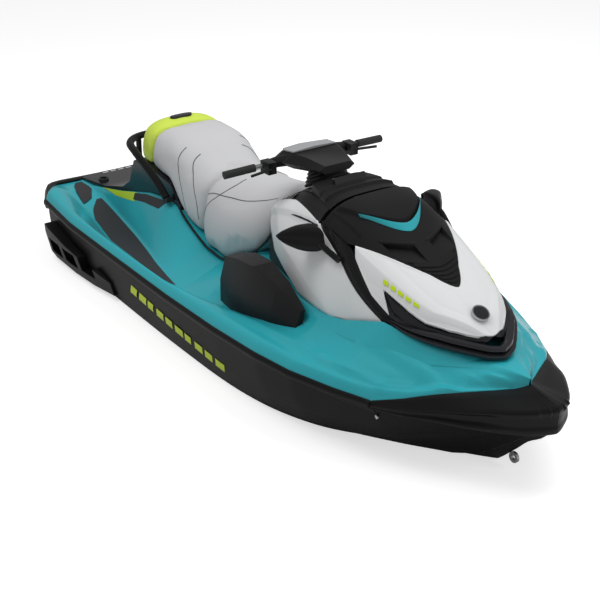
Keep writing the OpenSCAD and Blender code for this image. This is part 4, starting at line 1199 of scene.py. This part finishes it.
@dataclass
class UpperBody:
    """Side panels, spine, dash and mirrors that stand on the foredeck."""

    shop: Workshop
    # Place across, and where the white panel starts and ends and the black band behind the hood ends
    edges: Rows = (
        (0.32, 1760, 1890, 1895), (0.40, 1722, 2035, 2040), (0.463, 1714, 2145, 2376),
        (0.5, 1712, 2178, 2404), (0.54, 1718, 2235, 2434), (0.611, 1735, 2331, 2484),
        (0.69, 1762, 2392, 2538), (0.754, 1790, 2450, 2622), (0.80, 1808, 2505, 2662),
        (0.867, 1832, 2590, 2700), (0.93, 1930, 2625, 2722), (1.0, 2090, 2650, 2740))
    # x and place across of the panel's crease
    crease: Rows = ((1745, 0.38), (1900, 0.76), (2330, 1.0))
    # y, x and z of the centre, half length, half height
    mirror: Rows = (
        (292, 2206, 943, 60, 43), (316, 2190, 934, 64, 50), (356, 2160, 930, 47, 47),
        (402, 2128, 931, 24, 26), (426, 2104, 932, 4, 5))

    def build(self) -> None:
        """Makes every piece of the upper body."""
        panel = self.panel()
        self.shop.piece("side_panel_port", panel, WHITE, replaces=["side_panels"], outward=(0, 1, 0), wall=12)
        self.shop.piece("side_panel_starboard", panel.mirrored(), WHITE, outward=(0, -1, 0), wall=12)
        band = self.band()
        self.shop.piece("spine_band_port", band, SOFT_BLACK, replaces=["spine_bands"], outward=(0, 1, 0),
                        wall=12)
        self.shop.piece("spine_band_starboard", band.mirrored(), SOFT_BLACK, outward=(0, -1, 0), wall=12)
        self.shop.refined("dash_shroud", SOFT_BLACK, 3.0, 18.0)
        self.spine()
        self.mirrors()
        for node, finish in (("dash_body", SOFT_BLACK), ("gauge_display", SCREEN), ("mirror_glass", GLASS),
                             ("glovebox_lid", SOFT_BLACK), ("lid_pins", STEEL)):
            self.shop.repaint(node, finish)

    def panel(self) -> Surface:
        """White panel: two facets that meet on a crease running down and forward."""
        q = np.linspace(0.32, 1.0, 64)[None, :]
        s = np.linspace(0, 1, 60)[:, None]
        start, end = straight(self.edges, q, 1), straight(self.edges, q, 2)
        x = start + (end - start) * s
        girth = 400
        plan = points_of(x, q * girth, 0 * x)
        rise = np.zeros(x.shape)
        for (x0, q0), (x1, q1) in zip(self.crease[:-1], self.crease[1:]):
            rise = np.maximum(rise, ridge(plan, (x0, q0 * girth), (x1, q1 * girth), 120))
        lift = 15 * rise - 9 + np.clip((0.52 - q) / 0.06, 0, 1) * 12
        return Surface.grid(LINES.skin(x, q + 0 * x, lift))

    def band(self) -> Surface:
        """Black band between panel and hood, stepped down from both and ribbed along its middle."""
        q = np.linspace(0.44, 1.0, 56)[None, :]
        s = np.linspace(0, 1, 24)[:, None]
        start, end = straight(self.edges, q, 2) + 3, straight(self.edges, q, 3) - 3
        lift = -9 + 9 * np.clip(1 - np.abs(s - 0.45) / 0.2, 0, 1) + 4 * np.clip((s - 0.8) / 0.1, 0, 1)
        return Surface.grid(LINES.skin(start + (end - start) * s, q + 0 * s, lift + 0 * q))

    def spine(self) -> None:
        """Raised spine between the glovebox lid and the hood, with stepped shoulders."""
        x = np.linspace(1834, 2158, 60)[:, None]
        s = np.linspace(-1, 1, 61)[None, :]
        half = np.interp(x, [1834, 1900, 2158], [0.13, 0.16, 0.30])
        step = np.interp(x, [1834, 1930, 1946, 2040, 2050, 2098, 2106, 2158], [3, 7, 34, 21, 13, 14, 3, 0])
        lift = 1.0 + step * np.clip((1 - np.abs(s)) / 0.16, 0, 1)
        top = Surface.grid(LINES.skin(x, half * s, lift), skip=self.column_opening(x, half, s))
        self.shop.piece("dash_spine", top, SOFT_BLACK, outward=(0, 0, 1), wall=3, sharp=25)
        x = np.linspace(1722, 1846, 24)[:, None]
        q = np.linspace(0.20, 0.33, 24)[None, :]
        keys = 3 * (np.cos((x - 1722) / 124 * 6 * np.pi) > 0.2) * (np.abs(q - 0.265) < 0.045)
        console = Surface.grid(LINES.skin(x, q + 0 * x, 1.5 + keys))
        self.shop.piece("console_pads", console.both_sides(), GLOSS_BLACK, outward=(0, 0, 1), wall=2)

    @staticmethod
    def column_opening(x: Array, half: Array, s: Array) -> Array:
        """Mask of the faces round the steering column."""
        points = LINES.skin(x, half * s)
        gap = np.hypot(points[..., 0] - 1880, points[..., 1]) < 76
        return gap[:-1, :-1] | gap[1:, 1:]

    def mirrors(self) -> None:
        """Mirror shells: rounded sections carried outwards to a point, each on a short arm."""
        y = np.concatenate([np.linspace(292, 300, 5), np.linspace(304, 424, 30)])
        x, z, long_half, high_half = (fair(self.mirror, y, c) for c in range(1, 5))
        shut = np.interp(y, [292, 296, 302, 424], [0.55, 0.86, 1, 1])
        angle = np.linspace(0, 2 * np.pi, 40, endpoint=False)[None, :]
        wave_x = np.sign(np.cos(angle)) * np.abs(np.cos(angle)) ** 0.75
        wave_z = np.sign(np.sin(angle)) * np.abs(np.sin(angle)) ** 0.75
        lean = 16 * np.clip(-wave_z, 0, 1)
        ring = points_of(x[:, None] + ((long_half * shut)[:, None]) * wave_x + lean, y[:, None],
                         z[:, None] + ((high_half * shut)[:, None]) * wave_z)
        shell = Surface.grid(ring, wrap=True, capped=True)
        foot = LINES.skin(np.array(2346.0), np.array(0.62), 4.0)
        arm = Surface.tube(smooth_path([(2232, 306, 932), (2270, 308, 914), tuple(foot)], 16), 13.0, 16)
        self.shop.piece("mirror_shells", (shell + arm).both_sides(), TRIM_BLACK, replaces=["mirror_housings"])


# ---------- hood ----------


@dataclass
class Hood:
    """Lifting hood: white shell, black centre with scoops and louvres, side inlets and lips."""

    shop: Workshop
    # x and place across of the V-shaped edge of the black centre
    v_edge: Rows = ((2340, 0.452), (2374, 0.412), (2440, 0.33), (2548, 0.198), (2648, 0.073), (2700, 0.03),
                    (2734, 0.0))
    # x and place across of the white shell's outer edge, before and after the inlet's tip
    outer_edge: Rows = ((2376, 0.416), (2404, 0.5), (2434, 0.54), (2484, 0.611), (2538, 0.69), (2572, 0.715))
    inlet_top: Rows = ((2572, 0.554), (2680, 0.57), (2778, 0.604), (2850, 0.54), (2900, 0.42), (2930, 0.26),
                       (2946, 0.02))
    inlet_rear: Rows = ((2572, 0.556), (2600, 0.645), (2634, 0.762))
    foot: Rows = ((2572, 0.56), (2634, 0.765), (2700, 0.81), (2780, 0.83), (2865, 0.80), (2920, 0.70),
                  (2946, 0.6), (2952, 0.5))
    # x and height of the lips' lower edge
    lip_line: Rows = ((2600, 728), (2650, 718), (2730, 697), (2800, 680), (2865, 668), (2945, 650),
                      (3006, 634))

    def build(self) -> None:
        """Makes every piece of the hood."""
        self.shell()
        self.centre()
        self.inlets()
        self.lips()
        self.marks()
        for node, finish in (("hood_arms", TRIM_BLACK), ("hood_badge", STEEL)):
            self.shop.repaint(node, finish)

    def shell(self) -> None:
        """White shell: two lobes beside the black centre, a leg behind each inlet, and the nose."""
        s = np.linspace(0, 1, 40)[None, :]
        x = np.unique(np.concatenate([np.linspace(2376, 2946, 130), [2572.0, 2572.1, 2734.0]]))[:, None]
        outer = np.where(x <= 2572, straight(self.outer_edge, x), straight(self.inlet_top, x))
        inner = np.maximum(straight(self.v_edge, x), 0.0)
        q = inner + (outer - inner) * s
        crease = np.interp(x, [2376, 2560, 2780, 2946], [0.43, 0.42, 0.40, 0.10])
        rise = 7 * np.clip(1 - np.abs(q - crease) / 0.16, 0, 1) - 3
        edge = np.clip(np.minimum(q - inner, outer - q) / 0.02, 0, 1)
        lobe = Surface.grid(LINES.skin(x + 0 * s, q, rise * edge))
        x = np.linspace(2572.1, 2634, 16)[:, None]
        high = straight(self.inlet_rear, x)
        low = np.interp(x, [2572, 2634], [0.715, 0.764])
        leg = Surface.grid(LINES.skin(x + 0 * s, high + (low - high) * s))
        self.shop.piece("hood_shell_skin", (lobe + leg).both_sides(), WHITE, body="hood",
                        replaces=["hood_shell"], outward=(0.3, 0, 1), wall=9, sharp=50)

    def centre(self) -> None:
        """Black centre: a raised plateau, two sunken scoops in front of it and ribs towards the V's tip."""
        x = np.linspace(2175, 2731, 280)[:, None]
        s = np.linspace(-1, 1, 161)[None, :]
        half = np.where(x < 2340, 0.452, straight(self.v_edge, x + 3))
        q = half * s
        across = np.abs(q)
        reach = np.interp(x, [2172, 2305, 2403, 2404], [0.29, 0.186, 0.0, -0.1])
        plateau = 15 * np.clip((reach - across) / 0.025, 0, 1)
        begin = 2445 + (0.204 - across) * 330
        inside = (x > begin) & (x < begin + 92) & (across > 0.022) & (across < np.minimum(0.204, half - 0.03))
        scoop = -20 * inside * (1 - (x - begin) / 92)
        rim = 5 * np.clip(1 - np.abs(x - begin + 8) / 10, 0, 1) * (across < 0.21) * (across > 0.012)
        ribbed = (x > begin + 104) * (across < half - 0.012)
        pitch, lean = 21, 260
        ribs = 5 * (np.cos((x + lean * across) / pitch * 2 * np.pi) > 0) * ribbed
        shoulder = -6 * np.clip((across - 0.30) / 0.03, 0, 1) * (x < 2372)
        lift = (plateau + shoulder) * np.clip((x - 2176) / 24, 0, 1) + scoop + rim + ribs * (x < 2712)
        self.shop.piece("hood_centre", Surface.grid(LINES.skin(x + 0 * s, q, lift)), SOFT_BLACK, body="hood",
                        replaces=["hood_vent"], outward=(0, 0, 1), wall=8, sharp=35)
        t = np.linspace(-1, 1, 81)[None, :]
        w = np.linspace(0, 1, 6)[:, None]
        near = np.interp(np.abs(t), [0, 0.35, 1], [2412, 2374, 2299])
        far = np.interp(np.abs(t), [0, 0.35, 1], [2440, 2393, 2303])
        fall = np.interp(w, [0, 1], [16.5, 2.0])
        chevron = Surface.grid(LINES.skin(near + (far - near) * w, 0.188 * t + 0 * w, fall + 0 * t))
        self.shop.piece("hood_chevron", chevron, TEAL_MARK, body="hood", outward=(0, 0, 1), wall=1.0)

    def inlets(self) -> None:
        """Glossy inlets: a sunken triangle beside the white shell, which runs on round the nose below it."""
        x = np.unique(np.concatenate([np.linspace(2573, 2950, 130), [2634.0, 2778.0]]))[:, None]
        s = np.linspace(0, 1, 40)[None, :]
        high = straight(self.inlet_top, x) + 0.004
        low = np.maximum(straight(self.foot, x), high + 0.002)
        q = high + (low - high) * s
        depth = np.interp(x, [2573, 2640, 2740, 2830, 2950], [-3, -20, -20, -9, -7])
        bowl = np.clip(np.minimum(s / 0.2, (1 - s) / 0.25), 0, 1)
        fold = 10 * np.clip(1 - np.abs(s - 0.55) / 0.2, 0, 1) * (x > 2790)
        sheet = Surface.grid(LINES.skin(x + 0 * s, q, -3 + depth * bowl + fold))
        self.shop.piece("hood_inlet_skins", sheet.both_sides(), GLOSS_BLACK, body="hood",
                        replaces=["hood_inlets"], outward=(0.3, 0, 0.3), wall=5, sharp=35)

    def lips(self) -> None:
        """Two glossy lips carried round the foot of the hood, over a dark skirt."""
        x = np.array([2612, 2660, 2730, 2800, 2865, 2910, 2950, 2984, 3004])
        y = np.array([264, 256, 240, 206, 165, 125, 86, 46, 0])
        foot = 641
        path = smooth_path(np.column_stack([x, y, straight(self.lip_line, x) - foot]), 60)
        plan = np.concatenate([path, path[-2::-1] * [1, -1, 1]])
        grow = np.clip(np.arange(len(plan)) / 26, 0.12, 1)
        grow = np.minimum(grow, grow[::-1])[:, None, None]
        lower = np.array([(14, 642), (-8, 641), (-21, 648), (-24, 660), (-10, 667), (10, 668)], float)
        upper = np.array([(16, 668), (-4, 670), (-12, 678), (-10, 690), (4, 694), (20, 690)], float)
        for name, section, nodes in (("grille_lower_lip", lower, ["lower_grille"]),
                                     ("grille_upper_lip", upper, [])):
            across = section[None] * [1, 0] * (0.4 + 0.6 * grow)
            shape = across + np.array([0, foot]) + (section[None] - [0, foot]) * [0, 1] * grow
            self.shop.piece(name, Surface.sweep(plan, shape), GLOSS_BLACK, replaces=nodes, bevel=2, sharp=25)
        x = np.linspace(2600, 2984, 70)[:, None]
        s = np.linspace(0, 1, 10)[None, :]
        high = straight(self.foot, x)
        skirt = Surface.grid(LINES.skin(x + 0 * s, high + 0.01 + (0.99 - high) * s, -14))
        self.shop.piece("grille_skirt", skirt.both_sides(), GLOSS_BLACK, outward=(0.3, 0, 0.3), wall=3)

    def marks(self) -> None:
        """Lime dashes beside each inlet, and a plain dark disc with a bright ring on the nose."""
        first, pitch, length = 2556, 36, 25
        t = np.linspace(0, 1, 4)[None, :]
        made = []
        for i in range(5):
            x = np.linspace(first + i * pitch, first + i * pitch + length, 5)[:, None]
            made.append(Surface.grid(LINES.skin(x + 8 * t, 0.46 - 0.0002 * (x - first) + 0.045 * t, 4.6)))
        self.shop.piece("hood_dashes", joined(made).both_sides(), LIME_MARK, body="hood", outward=(0, 0, 1),
                        wall=0.8)
        behind, middle, ahead = LINES.skin(np.array([2845.0, 2865.0, 2885.0]), np.zeros(3), 4.0)
        run = ahead - behind
        axis = (-run[2], 0.0, run[0])
        disc = Surface.turned(((0.5, -4), (33, -4), (33, 5), (31, 6.5), (0.5, 6.5)), middle, axis, 64)
        ring = Surface.turned(((31, -3), (37, -3), (37, 6), (36, 7.5), (32, 7.5), (31, 6)), middle, axis, 64)
        self.shop.piece("nose_disc", disc, GLOSS_BLACK, body="hood")
        self.shop.piece("nose_ring", ring, STEEL, body="hood")


# ---------- steering ----------


@dataclass
class Steering:
    """Handlebar with its covers, grips and levers, and the column under it."""

    shop: Workshop
    pivot: tuple[float, float, float] = (1850, 0, 1052)
    rake: float = 28.0
    # y, x and z of the centre, half length and half height of the cover along the bar
    cover: Rows = (
        (40, 1742, 1086, 40, 30), (90, 1744, 1092, 42, 31), (140, 1736, 1088, 33, 26),
        (190, 1726, 1083, 24, 22), (226, 1722, 1079, 20, 20))

    def build(self) -> None:
        """Makes every piece that turns with the handlebar."""
        self.shop.refined("bar_cover", SOFT_BLACK, 4.0, 18.0)
        self.shop.refined("bar_pad", PAD_GREY, 3.0, 18.0)
        self.arms()
        self.cowl()
        for node, finish in (("grips", GRIP), ("control_levers", TRIM_BLACK), ("handlebar", STEEL),
                             ("steering_column", STEEL), ("steering_bearing", TRIM_BLACK)):
            self.shop.repaint(node, finish)

    def arms(self) -> None:
        """Thick eight-sided covers over the bar between its middle and the grips."""
        y = np.linspace(40, 226, 32)
        x, z, long_half, high_half = (fair(self.cover, y, c) for c in range(1, 5))
        angle = np.radians(np.arange(8) * 45 + 22.5)[None, :]
        ring = points_of(x[:, None] + long_half[:, None] * np.cos(angle), y[:, None],
                         z[:, None] + high_half[:, None] * np.sin(angle))
        arm = Surface.grid(ring, wrap=True, capped=True)
        self.shop.piece("bar_arm_covers", arm.both_sides(), SOFT_BLACK, body="steering", bevel=3, sharp=25)

    def cowl(self) -> None:
        """Ribbed shroud round the column that fills the space between the bar and the console."""
        lean = math.radians(self.rake)
        axis = (-math.sin(lean), 0.0, math.cos(lean))
        profile = [(20, -52), (98, -52), (102, -44), (92, -36), (94, -28), (84, -21),
                   (86, -13), (76, -7), (78, 1), (70, 8), (66, 22), (20, 22)]
        self.shop.piece("column_boot", Surface.turned(profile, self.pivot, axis, 64), TRIM_BLACK,
                        body="steering", sharp=50)


# ---------- stern gear ----------


@dataclass
class SternGear:
    """Jet pump, plates, grab handle and eyes."""

    shop: Workshop
    # x, half width and height of the grab handle's middle line
    handle: Rows = (
        (922, 256, 688), (860, 262, 742), (760, 268, 800), (650, 262, 838), (545, 232, 850), (482, 150, 852),
        (470, 0, 852))

    def build(self) -> None:
        """Makes every piece of the stern gear."""
        self.grab()
        for node in ("pump_housing", "steering_nozzle", "reverse_gate", "ride_plate", "intake_grate"):
            self.shop.repaint(node, CAST)
        for node in ("impeller", "bow_eye", "stern_eyes"):
            self.shop.repaint(node, STEEL)

    def grab(self) -> None:
        """Grab handle: a thick rounded rail that runs behind the seat and down both sides, on two struts."""
        side = smooth_path(self.handle, 70)
        rail = Surface.tube(np.concatenate([side, side[-2::-1] * [1, -1, 1]]), 19.5, 18, flatten=0.85)
        strut = Surface.tube(np.array([(482, 150, 640), (482, 150, 700), (482, 150, 852)], float), 14.0, 20)
        pad = Surface.block((900, 228, 664.5), (938, 262, 690))
        self.shop.piece("grab_rail", rail + strut.both_sides() + pad.both_sides(), TRIM_BLACK,
                        replaces=["grab_handle"], sharp=50)


# ---------- studio ----------


@dataclass
class Studio:
    """Water-level floor, soft lamps and the camera."""

    camera_at: tuple[float, float, float] = (4.753, -3.346, 2.922)
    target: tuple[float, float, float] = (0.071, -0.044, 0.201)
    lens: float = 84.3
    # name, place, width in metres and power in watts
    lamps: tuple[tuple[str, tuple[float, float, float], float, float], ...] = (
        ("key", (-0.6, -2.2, 4.6), 2.2, 70), ("top", (0.4, 1.8, 4.4), 3.4, 100),
        ("bow", (5.0, 2.6, 2.4), 2.0, 34))

    def build(self) -> None:
        """Sets the floor, world, lamps and camera."""
        self.floor()
        self.world()
        for name, at, size, power in self.lamps:
            self.lamp(name, at, size, power)
        self.camera()

    def floor(self) -> None:
        """Pale floor at the waterline: matt white, with light of its own for the camera only."""
        mesh = bpy.data.meshes.new("floor")
        mesh.from_pydata([(-30, -30, 0), (30, -30, 0), (30, 30, 0), (-30, 30, 0)], [], [(0, 1, 2, 3)])
        floor = in_scene("floor", mesh)
        paint = bpy.data.materials.new("floor_paint")
        paint.use_nodes = True
        tree = paint.node_tree
        tree.nodes.clear()
        out = add_node(tree, "OutputMaterial")
        matt = add_node(tree, "BsdfDiffuse", {"Color": (0.82, 0.82, 0.82, 1)})
        glow = add_node(tree, "Emission", {"Color": (1, 1, 1, 1)})
        path = add_node(tree, "LightPath")
        weigh = add_node(tree, "Math", {1: 0.62}, operation="MULTIPLY")
        both = add_node(tree, "AddShader")
        wire(tree,
             (path.outputs["Is Camera Ray"], weigh.inputs[0]),
             (weigh.outputs[0], glow.inputs["Strength"]),
             (matt.outputs[0], both.inputs[0]),
             (glow.outputs[0], both.inputs[1]),
             (both.outputs[0], out.inputs["Surface"]))
        mesh.materials.append(paint)

    def world(self) -> None:
        """Even white surroundings."""
        world = bpy.data.worlds.new("studio")
        world.use_nodes = True
        tree = world.node_tree
        back = tree.nodes["Background"]
        back.inputs["Color"].default_value = (1, 1, 1, 1)
        path = add_node(tree, "LightPath")
        blend = add_node(tree, "MapRange", {"To Min": 0.31, "To Max": 1.0})
        wire(tree,
             (path.outputs["Is Camera Ray"], blend.inputs["Value"]),
             (blend.outputs["Result"], back.inputs["Strength"]))
        bpy.context.scene.world = world

    @staticmethod
    def lamp(name: str, at: tuple[float, float, float], size: float, power: float) -> None:
        """A square soft lamp that faces the craft's middle."""
        light = bpy.data.lights.new(name, "AREA")
        light.size = size
        light.energy = power
        made = in_scene(name, light)
        made.location = at
        made.rotation_mode = "QUATERNION"
        made.rotation_quaternion = (Vector((0.2, 0, 0.3)) - Vector(at)).to_track_quat("-Z", "Y")
        made.visible_glossy = False

    def camera(self) -> None:
        """The camera, off the starboard bow and above."""
        lens = bpy.data.cameras.new("camera")
        lens.lens = self.lens
        lens.sensor_width = 36.0
        made = in_scene("camera", lens)
        made.location = self.camera_at
        made.rotation_mode = "QUATERNION"
        look = Vector(self.target) - Vector(self.camera_at)
        made.rotation_quaternion = look.to_track_quat("-Z", "Y")
        bpy.context.scene.camera = made


def main() -> None:
    logging.basicConfig(level=logging.INFO, format="%(message)s")
    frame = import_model()
    bpy.context.scene.view_settings.view_transform = "Standard"
    datum = Datum(stern=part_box("deck")[0].x, keel=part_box("hull")[0].z)
    shop = Workshop(frame, datum)
    for assembly in (Hull(shop), Deck(shop), Seats(shop), UpperBody(shop), Hood(shop), Steering(shop),
                     SternGear(shop), Studio()):
        assembly.build()


if __name__ == "__main__":
    main()
